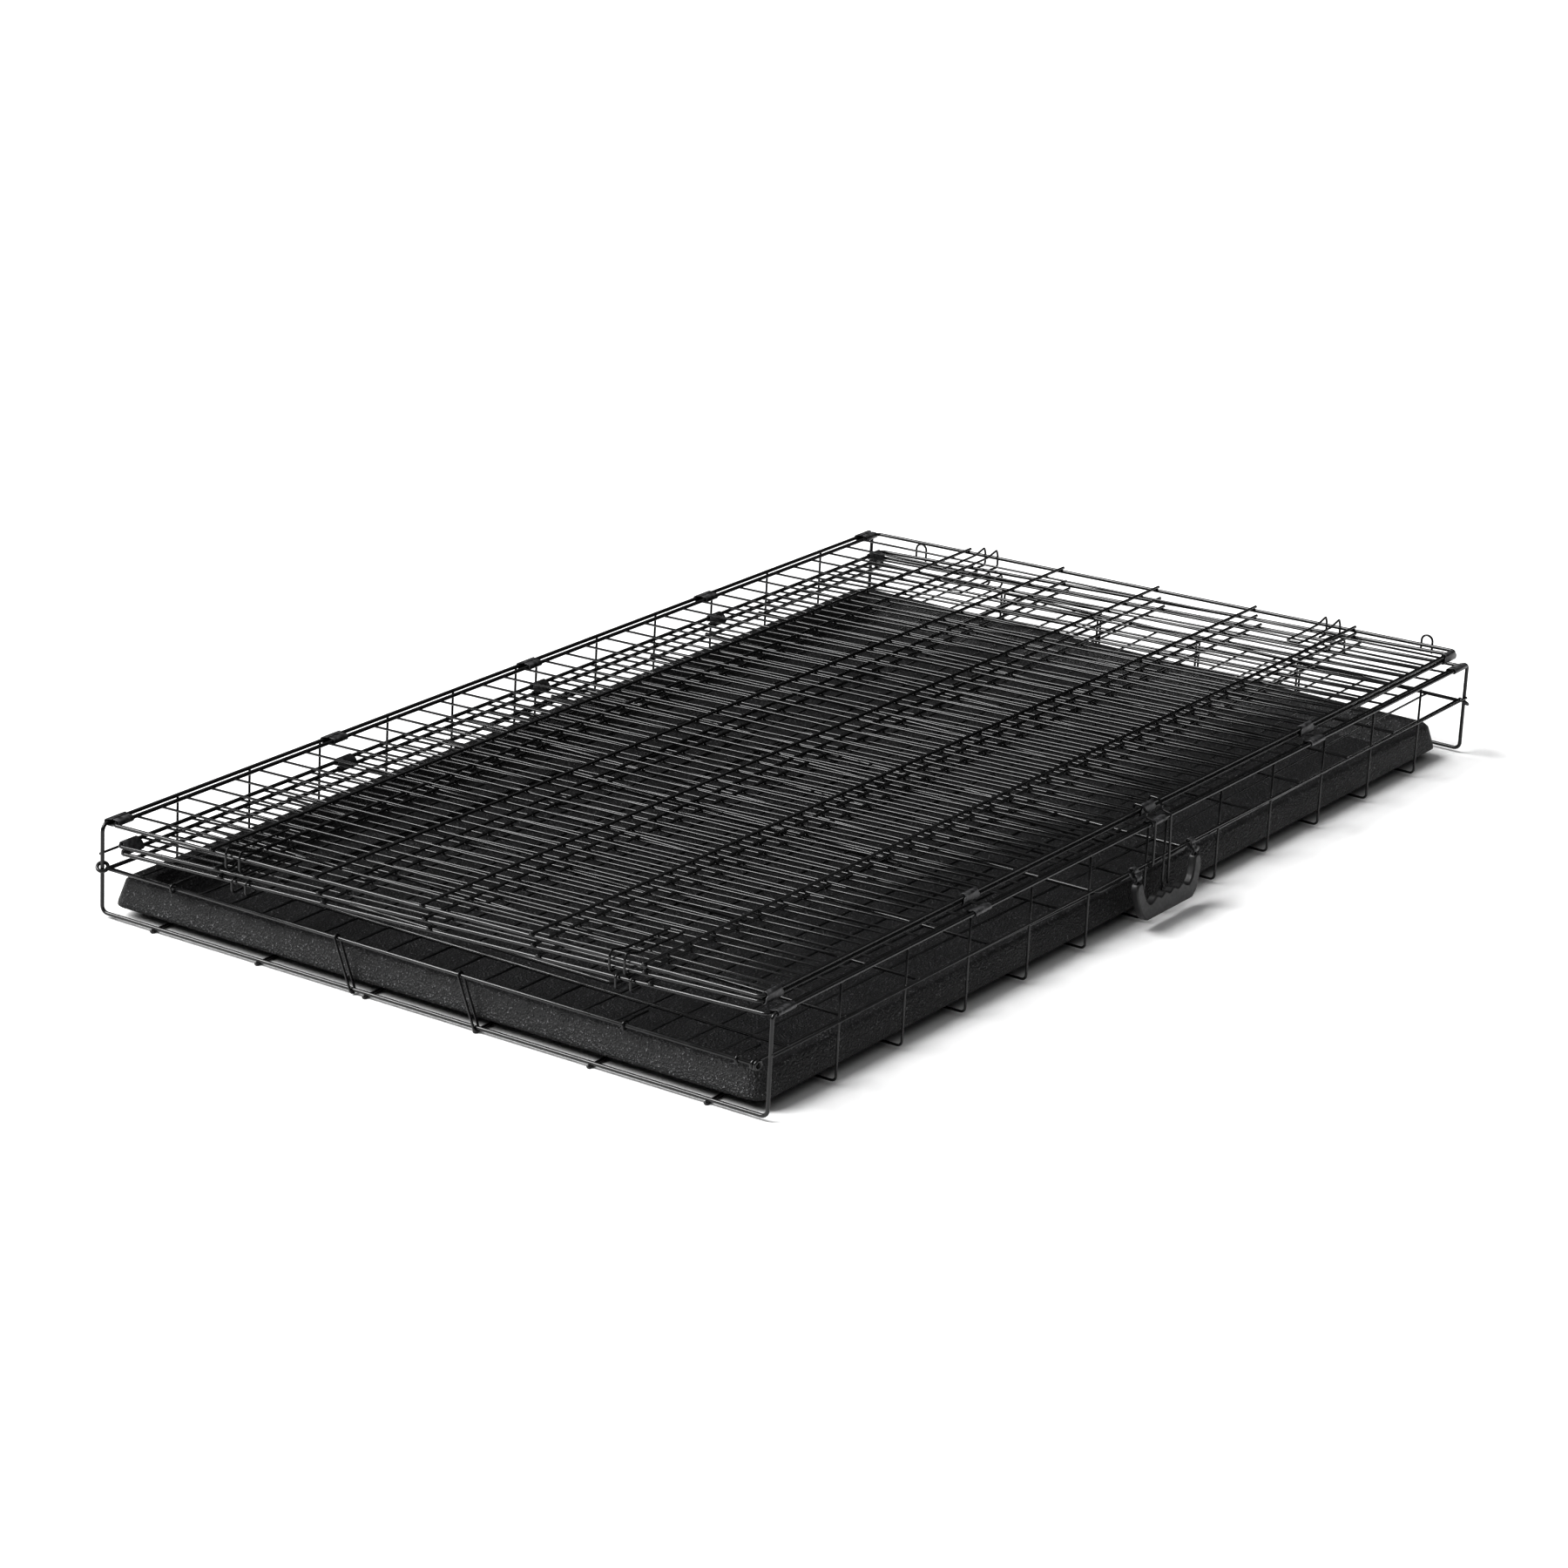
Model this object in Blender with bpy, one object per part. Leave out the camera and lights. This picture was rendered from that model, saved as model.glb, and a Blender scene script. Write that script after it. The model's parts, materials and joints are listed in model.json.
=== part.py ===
"""Folding wire dog crate, folded flat: base, tray, three hinged wall panels, two end panels, a door,
hinge clips, link loops, hooks, a fold lock and a carry handle.

Metres, +Z up, +X along the long side. The handle hangs on the -Y side.
"""

import math

import bmesh
import bpy
from mathutils import Matrix, Vector

# ---- driving dimensions (metres) ----
PITCH = 0.033                      # spacing of the fine wires
CELLS = 37                         # fine wire spaces along the crate
HALF_X = PITCH * CELLS / 2         # end wires stand at +-HALF_X
HALF_Y = 0.350                     # lips stand at +-HALF_Y
SHIFT_Y = 0.00463                  # centres the whole object, handle included

FRAME_R = 0.0018                   # frame wire
LONG_R = 0.0015                    # long wires inside a panel
FINE_R = 0.0011                    # fine wires
WELD = 0.0004                      # how deep welded wires sink into each other
FREE = 0.0003                      # gap between wires that only pass

FLOOR_LONG_Z = 0.0015
FLOOR_CROSS_Z = FLOOR_LONG_Z + LONG_R + FRAME_R - WELD
LIP_FOOT_Z = FLOOR_CROSS_Z + FRAME_R + FREE
LEFT_TOP_Z = 0.086
RIGHT_TOP_Z = 0.092
LIP_MID_Z = 0.0577

# Hinge lines of the fold, as (y, z)
LOWER_WALL_FOOT = (-0.3435, 0.090)
LOWER_WALL_TOP = (0.3312, 0.062)
ROOF_LEFT = (0.335, 0.068)
ROOF_RIGHT = (-0.337, 0.099)
UPPER_WALL_TOP = (-0.337, 0.1035)
UPPER_WALL_FOOT = (0.3435, 0.086)

NEAR_PANEL_Z = 0.046               # height of each end panel's bottom bar
FAR_PANEL_Z = 0.0535
END_PANEL_LENGTH = 0.700
NEAR_DIP = math.asin(0.008 / END_PANEL_LENGTH)     # how far each panel's top sags
FAR_DIP = math.asin(0.006 / END_PANEL_LENGTH)
DOOR_LIFT = 0.0066                 # the door lies this far over its panel
END_PANEL_HALF_Y = 0.332
END_PANEL_WIRES = 19

CLIP_X = [-0.5927, -9 * PITCH, 0.0, 9 * PITCH, 0.5927]
CLIP_LENGTH = 0.025
CLIP_SHEET = 0.0009

TRAY_NEAR_X = -HALF_X + 0.0060
TRAY_FAR_X = HALF_X - 0.024
TRAY_RIGHT_Y = -0.339
TRAY_LEFT_Y = 0.3465
TRAY_FLOOR_Z = 0.0065               # underside of the pan
TRAY_FOOT_Z = 0.0110                # foot of the skirt
TRAY_TOP_Z = 0.0345
TRAY_SLOPE = 0.006
TRAY_RIM = 0.017
TRAY_WALL = 0.0022

HANDLE_AXIS = (-HALF_Y - 2 * FINE_R - FREE, LIP_MID_Z)    # the right lip's middle wire
HANDLE_X = 0.008
HANDLE_LEAN = -0.10                # hangs a little outwards
HANDLE_ARM_X = 0.051
HANDLE_BAR = (-0.0040, -0.0070)    # y, z of the arms' top bars from the axis
HANDLE_THICK = 0.0080

COLLECTION = "wire_dog_crate"


# ---- scene and materials ----
def clear_scene():
    for obj in list(bpy.data.objects):
        bpy.data.objects.remove(obj, do_unlink=True)


def new_collection(name):
    collection = bpy.data.collections.new(name)
    bpy.context.scene.collection.children.link(collection)
    return collection


def new_material(name, colour, roughness, metallic):
    material = bpy.data.materials.new(name)
    material.use_nodes = True
    shader = material.node_tree.nodes["Principled BSDF"]
    shader.inputs["Base Color"].default_value = (*colour, 1.0)
    shader.inputs["Roughness"].default_value = roughness
    shader.inputs["Metallic"].default_value = metallic
    return material


def wire_material(name):
    """Satin black powder coat over steel wire."""
    return new_material(name, (0.012, 0.012, 0.013), 0.38, 0.0)


def clip_material(name):
    """Black coated sheet steel."""
    return new_material(name, (0.010, 0.010, 0.011), 0.45, 0.0)


def tray_material(name):
    """Black moulded plastic with a dull grain."""
    return new_material(name, (0.020, 0.020, 0.021), 0.62, 0.0)


def handle_material(name):
    """Smooth black plastic."""
    return new_material(name, (0.008, 0.008, 0.009), 0.35, 0.0)


# ---- shape helpers ----
def add_wire(bm, points, radius, sides=4, turn=0.0):
    """A prism of the given number of sides that follows the points, with flat caps."""
    path = [Vector(p) for p in points]
    last = len(path) - 1
    first = (path[1] - path[0]).normalized()
    helper = Vector((0, 0, 1)) if abs(first.z) < 0.9 else Vector((0, 1, 0))
    across = first.cross(helper).normalized()
    up = across.cross(first).normalized()
    ring = []
    for k in range(sides):
        angle = turn + 2 * math.pi * k / sides
        offset = (across * math.cos(angle) + up * math.sin(angle)) * radius
        ring.append(path[0] + offset)
    rings = [[bm.verts.new(p) for p in ring]]
    for i in range(1, last + 1):
        along = (path[i] - path[i - 1]).normalized()
        plane = along
        if i < last:
            plane = (along + (path[i + 1] - path[i]).normalized()).normalized()
        # each point slides along the wire to the plane that halves the bend
        ring = [p + along * ((path[i] - p).dot(plane) / along.dot(plane)) for p in ring]
        rings.append([bm.verts.new(p) for p in ring])
    for low, high in zip(rings, rings[1:]):
        for k in range(sides):
            n = (k + 1) % sides
            bm.faces.new((low[k], low[n], high[n], high[k]))
    bm.faces.new(list(reversed(rings[0])))
    bm.faces.new(rings[-1])


def add_ring(bm, centre, normal, major, radius, segments=10, sides=4):
    """A closed ring of wire."""
    axis = Vector(normal).normalized()
    helper = Vector((1, 0, 0)) if abs(axis.x) < 0.9 else Vector((0, 1, 0))
    u = axis.cross(helper).normalized()
    v = axis.cross(u).normalized()
    rings = []
    for i in range(segments):
        a = 2 * math.pi * i / segments
        out = u * math.cos(a) + v * math.sin(a)
        points = []
        for k in range(sides):
            b = 2 * math.pi * k / sides
            points.append(Vector(centre) + out * (major + radius * math.cos(b)) + axis * radius * math.sin(b))
        rings.append([bm.verts.new(p) for p in points])
    for i in range(segments):
        low = rings[i]
        high = rings[(i + 1) % segments]
        for k in range(sides):
            n = (k + 1) % sides
            bm.faces.new((low[k], low[n], high[n], high[k]))


def add_box(bm, low, high):
    """A box between two corners."""
    made = bmesh.ops.create_cube(bm, size=1.0)
    size = Vector(high) - Vector(low)
    middle = (Vector(high) + Vector(low)) / 2
    bmesh.ops.scale(bm, vec=size, verts=made["verts"])
    bmesh.ops.translate(bm, vec=middle, verts=made["verts"])


def add_extrusion(bm, outline, x0, x1):
    """A closed outline of (y, z) points pulled along X."""
    near = [bm.verts.new((x0, y, z)) for y, z in outline]
    far = [bm.verts.new((x1, y, z)) for y, z in outline]
    count = len(outline)
    for k in range(count):
        n = (k + 1) % count
        bm.faces.new((near[k], near[n], far[n], far[k]))
    bm.faces.new(list(reversed(near)))
    bm.faces.new(far)


def mesh_from(bm, name):
    bmesh.ops.recalc_face_normals(bm, faces=bm.faces)
    mesh = bpy.data.meshes.new(name)
    bm.to_mesh(mesh)
    bm.free()
    return mesh


def place(collection, name, mesh, material, origin=(0, 0, 0), tilt=0.0, dip=0.0):
    """Puts a mesh into the scene with its origin on its own joint axis."""
    obj = bpy.data.objects.new(name, mesh)
    collection.objects.link(obj)
    obj.location = (origin[0], origin[1] + SHIFT_Y, origin[2])
    obj.rotation_euler = (tilt, dip, 0)
    mesh.materials.clear()
    mesh.materials.append(material)
    return obj


def united(name, meshes):
    """One closed body out of several overlapping ones."""
    scene = bpy.context.scene.collection
    first = bpy.data.objects.new(name + "_whole", meshes[0])
    scene.objects.link(first)
    others = []
    for i, mesh in enumerate(meshes[1:]):
        other = bpy.data.objects.new(f"{name}_more_{i}", mesh)
        scene.objects.link(other)
        others.append(other)
        modifier = first.modifiers.new(f"join_{i}", "BOOLEAN")
        modifier.operation = "UNION"
        modifier.solver = "EXACT"
        modifier.object = other
    bpy.context.view_layer.update()
    graph = bpy.context.evaluated_depsgraph_get()
    result = bpy.data.meshes.new_from_object(first.evaluated_get(graph))
    for obj in [first, *others]:
        bpy.data.objects.remove(obj, do_unlink=True)
    return result


# ---- base ----
def cross_wire_x():
    """Places of the base's fourteen U-shaped cross wires along X."""
    lower = [-HALF_X + 3 * PITCH * k for k in range(7)]
    return lower + [-x for x in reversed(lower)]


def base_floor(collection, material):
    cross = bmesh.new()
    for x in cross_wire_x():
        end = abs(x) > HALF_X - 0.001
        radius = FRAME_R if end else FINE_R
        z = FLOOR_CROSS_Z if end else FLOOR_LONG_Z + LONG_R + 0.0003 + FINE_R - WELD
        add_wire(cross, [(x, -HALF_Y, z), (x, HALF_Y, z)], radius)
    longs = bmesh.new()
    for k in range(6):
        y = (k - 2.5) * 2 * HALF_Y / 6
        outer = k in (0, 5)
        half = LONG_R + 0.0003 if outer else LONG_R - 0.0002
        reach = HALF_X + 0.003
        add_wire(longs, [(-reach, y, half), (reach, y, half)], half * math.sqrt(2), 4, math.pi / 4)
    # the end wires also take the inner long wires
    bars = bmesh.new()
    for x in (-HALF_X, HALF_X):
        for k in range(1, 5):
            y = (k - 2.5) * 2 * HALF_Y / 6
            add_box(bars, (x - 0.0012, y - 0.0010, 0.0014), (x + 0.0011, y + 0.0011, 0.0036))
    mesh = united("base_floor", [mesh_from(cross, "c"), mesh_from(longs, "l"), mesh_from(bars, "b")])
    return place(collection, "base_floor", mesh, material)


def base_lip(collection, material, name, side, top):
    y = side * HALF_Y
    posts = bmesh.new()
    for x in cross_wire_x():
        radius = FRAME_R if abs(x) > HALF_X - 0.001 else FINE_R
        add_wire(posts, [(x, y, LIP_FOOT_Z), (x, y, top)], radius)
    rails = bmesh.new()
    add_wire(rails, [(-HALF_X - 0.0018, y, top), (HALF_X + 0.0018, y, top)], FRAME_R, 6, 0.1)
    outside = y + side * (2 * FINE_R + FREE)
    middle = [(-HALF_X - 0.0005, outside, LIP_MID_Z), (HALF_X + 0.0005, outside, LIP_MID_Z)]
    add_wire(rails, middle, FINE_R)
    mesh = united(name, [mesh_from(posts, "p"), mesh_from(rails, "r")])
    return place(collection, name, mesh, material)


# ---- wall panels ----
def wall_panel(collection, material, name, foot, head, over):
    """A side wall or the roof. It runs from the foot rail to the head rail; over is the side its
    long wires lie on."""
    dy = head[0] - foot[0]
    dz = head[1] - foot[1]
    length = math.hypot(dy, dz)
    way = 1 if dy > 0 else -1
    tilt = math.atan2(way * dz, way * dy)
    rungs = bmesh.new()
    for k in range(CELLS + 1):
        x = -HALF_X + PITCH * k
        end = k in (0, CELLS)
        inset = 0.003 if k == 0 else -0.003 if k == CELLS else 0
        radius = FRAME_R if end else FINE_R
        add_wire(rungs, [(x + inset, 0, 0), (x + inset, way * length, 0)], radius)
    rails = bmesh.new()
    reach = HALF_X - 0.001
    for y in (0, way * length):
        add_wire(rails, [(-reach, y, 0), (reach, y, 0)], FRAME_R, 6, 0.1)
    for k in range(1, 6):
        y = way * length * k / 6
        z = over * (FINE_R + LONG_R + FREE)
        add_wire(rails, [(-reach - 0.002, y, z), (reach + 0.002, y, z)], LONG_R)
    mesh = united(name, [mesh_from(rungs, "r"), mesh_from(rails, "l")])
    return place(collection, name, mesh, material, (0, *foot), tilt)


# ---- end panels and door ----
DOOR_Y = (-4.5, 5.5)               # door opening, in fine wire spaces
DOOR_X = (0.050, 0.480)            # door opening, measured from the bottom bar
NEAR_LONG_X = (0.134, 0.2465, 0.3595)    # long wires beside and across the door


def end_panel_span(side):
    """Lowest and highest y of an end panel, and the step between its fine wires."""
    y_low = -END_PANEL_HALF_Y
    y_high = HALF_Y - 0.006
    if side > 0:
        y_low, y_high = -y_high, -y_low
    return y_low, y_high, (y_high - y_low) / (END_PANEL_WIRES + 1)


def end_panel_grid(side, first, last, span, frame_x, long_x, long_z):
    """Part of an end panel, lying inwards from its bottom bar. It has the fine wires from first to last
    over span, frame bars at frame_x and long wires at long_x."""
    inward = -side
    y_low, _, step = end_panel_span(side)
    rungs = bmesh.new()
    for k in range(first, last + 1):
        radius = FRAME_R if k in (0, END_PANEL_WIRES + 1) else FINE_R
        y = y_low + step * k
        add_wire(rungs, [(inward * span[0], y, 0), (inward * span[1], y, 0)], radius)
    y0 = y_low + step * first
    y1 = y_low + step * last
    bars = bmesh.new()
    for x in frame_x:
        add_wire(bars, [(inward * x, y0 - 0.001, 0), (inward * x, y1 + 0.001, 0)], FRAME_R, 6, 0.1)
    for x in long_x:
        add_wire(bars, [(inward * x, y0 - 0.0006, long_z), (inward * x, y1 + 0.0006, long_z)], LONG_R)
    return [mesh_from(rungs, "r"), mesh_from(bars, "b")]


def end_panel_eyes(side):
    """Rings at both ends of the bottom bar, round the base's corner uprights."""
    y_low, y_high, _ = end_panel_span(side)
    eyes = bmesh.new()
    for y, out in ((y_low, -1), (y_high, 1)):
        add_ring(eyes, (0, y + out * 0.006, 0), (0, 0, 1), 0.0046, 0.0015)
    return mesh_from(eyes, "e")


def far_end_panel(collection, material):
    """Lies flat, its bottom bar over the base's far end wire and its top towards the middle."""
    height = FINE_R + LONG_R + FREE
    ends = (0, END_PANEL_LENGTH)
    longs = (0.140, 0.235, 0.330, 0.425, 0.590)
    meshes = end_panel_grid(1, 0, END_PANEL_WIRES + 1, ends, ends, longs, height)
    mesh = united("far_end_panel", meshes + [end_panel_eyes(1)])
    place(collection, "far_end_panel", mesh, material, (HALF_X - 0.0002, 0, FAR_PANEL_Z), 0.0, -FAR_DIP)


def near_end_panel(collection, material):
    """Four grids round the doorway: the sill, a side each way, and the header."""
    last = END_PANEL_WIRES + 1
    right_post = 10 + math.ceil(DOOR_Y[0]) - 1
    left_post = 10 + math.floor(DOOR_Y[1]) + 1
    room = FRAME_R + FREE
    sides = (DOOR_X[0] + room, DOOR_X[1] - room)
    grids = {
        "sill": end_panel_grid(-1, 0, last, (0, DOOR_X[0]), (0, DOOR_X[0]), (), 0) + [end_panel_eyes(-1)],
        "right": end_panel_grid(-1, 0, right_post, sides, (), NEAR_LONG_X, 0.0008),
        "left": end_panel_grid(-1, left_post, last, sides, (), NEAR_LONG_X, 0.0008),
        "header": end_panel_grid(
            -1, 0, last, (DOOR_X[1], END_PANEL_LENGTH), (DOOR_X[1], END_PANEL_LENGTH), (0.590,),
            FINE_R + LONG_R + FREE),
    }
    for part, meshes in grids.items():
        name = "near_end_panel_" + part
        mesh = united(name, meshes)
        place(collection, name, mesh, material, (-HALF_X + 0.0002, 0, NEAR_PANEL_Z), 0.0, NEAR_DIP)


def door_frame():
    """Edges of the door: x from the panel's bottom bar, and y."""
    step = (HALF_Y - 0.006 + END_PANEL_HALF_Y) / (END_PANEL_WIRES + 1)
    y_low = -END_PANEL_HALF_Y + step * 5.2
    y_high = -END_PANEL_HALF_Y + step * 15.8
    x_low = DOOR_X[0] + 0.006
    x_high = DOOR_X[1] - 0.006
    return x_low, x_high, y_low, y_high


def door(collection, material):
    """The door lies on the near end panel and turns on its edge at y_low."""
    x_low, x_high, y_low, y_high = door_frame()
    z = DOOR_LIFT
    width = y_high - y_low
    rungs = bmesh.new()
    count = 10
    for k in range(count + 1):
        y = width * k / count
        radius = FRAME_R if k in (0, count) else FINE_R
        add_wire(rungs, [(x_low, y, z), (x_high, y, z)], radius)
    bars = bmesh.new()
    for x in (x_low, x_high):
        add_wire(bars, [(x, -0.001, z), (x, width + 0.001, z)], FRAME_R, 6, 0.1)
    for x in NEAR_LONG_X:
        height = z + FINE_R + LONG_R + FREE
        add_wire(bars, [(x, -0.0006, height), (x, width + 0.0006, height)], LONG_R)
    mesh = united("door", [mesh_from(rungs, "r"), mesh_from(bars, "b")])
    return place(collection, "door", mesh, material, (-HALF_X, y_low, NEAR_PANEL_Z), 0.0, NEAR_DIP)


def slide_bolt(collection, material, name, x):
    """A straight bolt with a ring grip. It slides along Y, over the door's free edge."""
    _, _, _, y_high = door_frame()
    z = DOOR_LIFT + FRAME_R + 0.0021
    rod = bmesh.new()
    add_wire(rod, [(x, y_high - 0.045, z), (x, y_high + 0.012, z)], 0.0016, 6)
    ring = bmesh.new()
    add_ring(ring, (x, y_high - 0.045 - 0.0098, z), (0, 0, 1), 0.0100, 0.0014, 12)
    mesh = united(name, [mesh_from(rod, "r"), mesh_from(ring, "g")])
    return place(collection, name, mesh, material, (-HALF_X, 0, NEAR_PANEL_Z), 0.0, NEAR_DIP)


# ---- tray ----
def rounded_rectangle(x0, x1, y0, y1, radius, z, steps=4):
    points = []
    corners = ((x1, y1, 0), (x0, y1, 90), (x0, y0, 180), (x1, y0, 270))
    for x, y, start in corners:
        cx = x - radius if start in (0, 270) else x + radius
        cy = y - radius if start in (0, 90) else y + radius
        for k in range(steps + 1):
            a = math.radians(start + 90 * k / steps)
            points.append((cx + radius * math.cos(a), cy + radius * math.sin(a), z))
    return points


def tray(collection, material):
    """A shallow pan with a flat rim and a skirt that slopes outwards to its foot."""
    def ring(inset, z, radius):
        return rounded_rectangle(
            TRAY_NEAR_X + inset, TRAY_FAR_X - inset, TRAY_RIGHT_Y + inset, TRAY_LEFT_Y - inset, radius, z)

    wall = TRAY_WALL
    pan_z = TRAY_FLOOR_Z + wall
    inner = TRAY_SLOPE + TRAY_RIM
    loops = [
        ring(0.0, TRAY_FOOT_Z, 0.016),
        ring(TRAY_SLOPE - 0.001, TRAY_TOP_Z - 0.002, 0.015),
        ring(TRAY_SLOPE + 0.001, TRAY_TOP_Z, 0.014),
        ring(inner, TRAY_TOP_Z, 0.013),
        ring(inner + 0.010, pan_z, 0.012),
    ]
    under = [
        ring(inner + 0.010, pan_z - wall, 0.012),
        ring(inner - wall, TRAY_TOP_Z - wall, 0.013),
        ring(TRAY_SLOPE + wall, TRAY_TOP_Z - wall, 0.014),
        ring(wall, TRAY_FOOT_Z, 0.016),
    ]
    bm = bmesh.new()
    rings = [[bm.verts.new(p) for p in loop] for loop in loops + under]
    count = len(rings[0])
    chain = list(range(5))
    for a, b in zip(chain, chain[1:]):
        for k in range(count):
            n = (k + 1) % count
            bm.faces.new((rings[a][k], rings[a][n], rings[b][n], rings[b][k]))
    bm.faces.new(rings[4])
    bm.faces.new(list(reversed(rings[5])))
    for a, b in ((5, 6), (6, 7), (7, 8), (8, 0)):
        for k in range(count):
            n = (k + 1) % count
            bm.faces.new((rings[a][k], rings[a][n], rings[b][n], rings[b][k]))
    return place(collection, "tray", mesh_from(bm, "tray"), material)


# ---- hinge clips ----
def clip_outline(a, b):
    """A sheet folded round two rails at a and b, each (y, z), open along one seam."""
    room = FRAME_R + 0.00035
    ay, az = a
    by, bz = b
    length = math.hypot(by - ay, bz - az)
    uy, uz = (by - ay) / length, (bz - az) / length
    vy, vz = -uz, uy

    def at(u, v):
        return (ay + uy * u + vy * v, az + uz * u + vz * v)

    outer = room + CLIP_SHEET
    cut = 0.0007
    middle = length / 2
    path = [
        (middle - cut, -outer), (-room * 0.45, -outer), (-outer, -room * 0.45), (-outer, room * 0.45),
        (-room * 0.45, outer), (length + room * 0.45, outer), (length + outer, room * 0.45),
        (length + outer, -room * 0.45), (length + room * 0.45, -outer), (middle + cut, -outer),
        (middle + cut, -room), (length + room * 0.42, -room), (length + room, -room * 0.42),
        (length + room, room * 0.42), (length + room * 0.42, room), (-room * 0.42, room),
        (-room, room * 0.42), (-room, -room * 0.42), (-room * 0.42, -room), (middle - cut, -room),
    ]
    return [at(u, v) for u, v in path]


def clip_row(collection, material, name, a, b):
    for i, x in enumerate(CLIP_X):
        bm = bmesh.new()
        outline = [(y - a[0], z - a[1]) for y, z in clip_outline(a, b)]
        add_extrusion(bm, outline, -CLIP_LENGTH / 2, CLIP_LENGTH / 2)
        place(collection, f"{name}_{i + 1}", mesh_from(bm, name), material, (x, *a))


# ---- links, hooks, loops ----
def link_loop(collection, material, name, x, y, low, high, lean):
    """A long closed loop of wire round the base end wire below and an end panel's bar above."""
    room = FRAME_R + 0.0003
    wire = 0.0011
    mid = room + wire
    side = 1 if x > 0 else -1
    points = []
    for z, start in ((high, 0), (low, 180)):
        for k in range(5):
            a = math.radians(start + 180 * k / 4)
            points.append((x + side * mid * math.cos(a), y + lean * (z - low) / (high - low), z + mid * math.sin(a)))
    bm = bmesh.new()
    centre = [Vector(p) for p in points]
    rings = []
    count = len(centre)
    for i, p in enumerate(centre):
        along = (centre[(i + 1) % count] - centre[i - 1]).normalized()
        across = Vector((0, 1, 0))
        out = along.cross(across).normalized()
        ring = []
        for k in range(4):
            b = 2 * math.pi * k / 4
            ring.append(bm.verts.new(p + out * wire * math.cos(b) + across * wire * math.sin(b)))
        rings.append(ring)
    for i in range(count):
        low_ring = rings[i]
        high_ring = rings[(i + 1) % count]
        for k in range(4):
            n = (k + 1) % 4
            bm.faces.new((low_ring[k], low_ring[n], high_ring[n], high_ring[k]))
    return place(collection, name, mesh_from(bm, name), material)


def double_hook(collection, material, name, foot, head, along, side, peak, drop):
    """Two prongs bent over a side wall's end wire, made of one wire. along is how far up the wall, peak
    is how high the prongs rise and drop how far they reach down."""
    dy = head[0] - foot[0]
    dz = head[1] - foot[1]
    way = 1 if dy > 0 else -1
    tilt = math.atan2(way * dz, way * dy)
    y = way * along
    half = 0.0075
    r = FINE_R
    lift = FRAME_R + r + FREE
    x_end = side * (HALF_X - 0.004)
    out = side * (FRAME_R + r + 0.0012)
    path = []
    prong = [
        (x_end - side * 0.008, -drop * 0.92),
        (x_end + out * 0.6, -drop),
        (x_end + out * 1.45, -drop * 0.74),
        (x_end + out * 1.40, 0.0020),
        (x_end + out * 1.10, peak),
        (x_end + out * 0.60, peak),
        (x_end - side * 0.014, lift),
        (x_end - side * 0.040, lift),
    ]
    for x, z in prong:
        path.append((x, y - half, z))
    for x, z in reversed(prong):
        path.append((x, y + half, z))
    bm = bmesh.new()
    add_wire(bm, path, r)
    return place(collection, name, mesh_from(bm, name), material, (0, *foot), tilt)


def d_loop(collection, material, name, y):
    """A half ring that stands up on the roof's far end wire."""
    share = (y - ROOF_RIGHT[0]) / (ROOF_LEFT[0] - ROOF_RIGHT[0])
    z = ROOF_RIGHT[1] + (ROOF_LEFT[1] - ROOF_RIGHT[1]) * share
    x = HALF_X + 0.0005
    top = z + 0.0145
    base = z - 0.004
    path = [(x - 0.0, y - 0.006, base)]
    for k in range(7):
        a = math.radians(180 - 30 * k)
        path.append((x, y + 0.006 * math.cos(a), top - 0.006 + 0.006 * math.sin(a)))
    path.append((x, y + 0.006, base))
    bm = bmesh.new()
    add_wire(bm, path, FINE_R)
    return place(collection, name, mesh_from(bm, name), material)


# ---- handle and fold lock ----
def add_plate(bm, outline, y0, y1):
    """A closed outline of (x, z) points, given thickness along Y."""
    front = [bm.verts.new((x, y0, z)) for x, z in outline]
    back = [bm.verts.new((x, y1, z)) for x, z in outline]
    count = len(outline)
    for k in range(count):
        n = (k + 1) % count
        bm.faces.new((front[k], front[n], back[n], back[k]))
    bm.faces.new(list(reversed(front)))
    bm.faces.new(back)


def handle(collection, material):
    """A loop with a scalloped grip. A short bar tops each arm, for the clamps to hold."""
    arm = HANDLE_ARM_X
    bar_y, bar_z = HANDLE_BAR
    y0 = bar_y - HANDLE_THICK / 2
    y1 = bar_y + HANDLE_THICK / 2
    top = bar_z - 0.0045
    outer = [(arm + 0.0065, top), (arm + 0.0055, top - 0.012), (arm - 0.004, top - 0.0330), (arm - 0.010, top - 0.0375)]
    inner = [(arm - 0.0065, top), (arm - 0.0060, top - 0.010), (arm - 0.0135, top - 0.0230)]
    grip = [(0.030, -0.0215), (0.022, -0.0185), (0.015, -0.0215), (0.0075, -0.0180)]
    right = outer + [(-x, z) for x, z in reversed(outer)]
    left = [(-x, z) for x, z in inner]
    left += [(-x, top + z) for x, z in grip] + [(0.0, top - 0.0215)] + [(x, top + z) for x, z in reversed(grip)]
    left += list(reversed(inner))
    loop = bmesh.new()
    add_plate(loop, right + left, y0, y1)
    legs = bmesh.new()
    for side in (-1, 1):
        for x in (side * (arm - 0.0055), side * (arm + 0.0055)):
            add_box(legs, (x - 0.0009, bar_y - 0.0013, top - 0.001), (x + 0.0009, bar_y + 0.0012, bar_z + 0.0004))
    bars = bmesh.new()
    for side in (-1, 1):
        x = side * arm
        add_wire(bars, [(x - 0.0068, bar_y, bar_z), (x + 0.0068, bar_y, bar_z)], 0.0016, 6, 0.1)
    mesh = united("handle", [mesh_from(loop, "h"), mesh_from(legs, "l"), mesh_from(bars, "b")])
    return place(collection, "handle", mesh, material, (HANDLE_X, *HANDLE_AXIS), HANDLE_LEAN)


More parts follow.
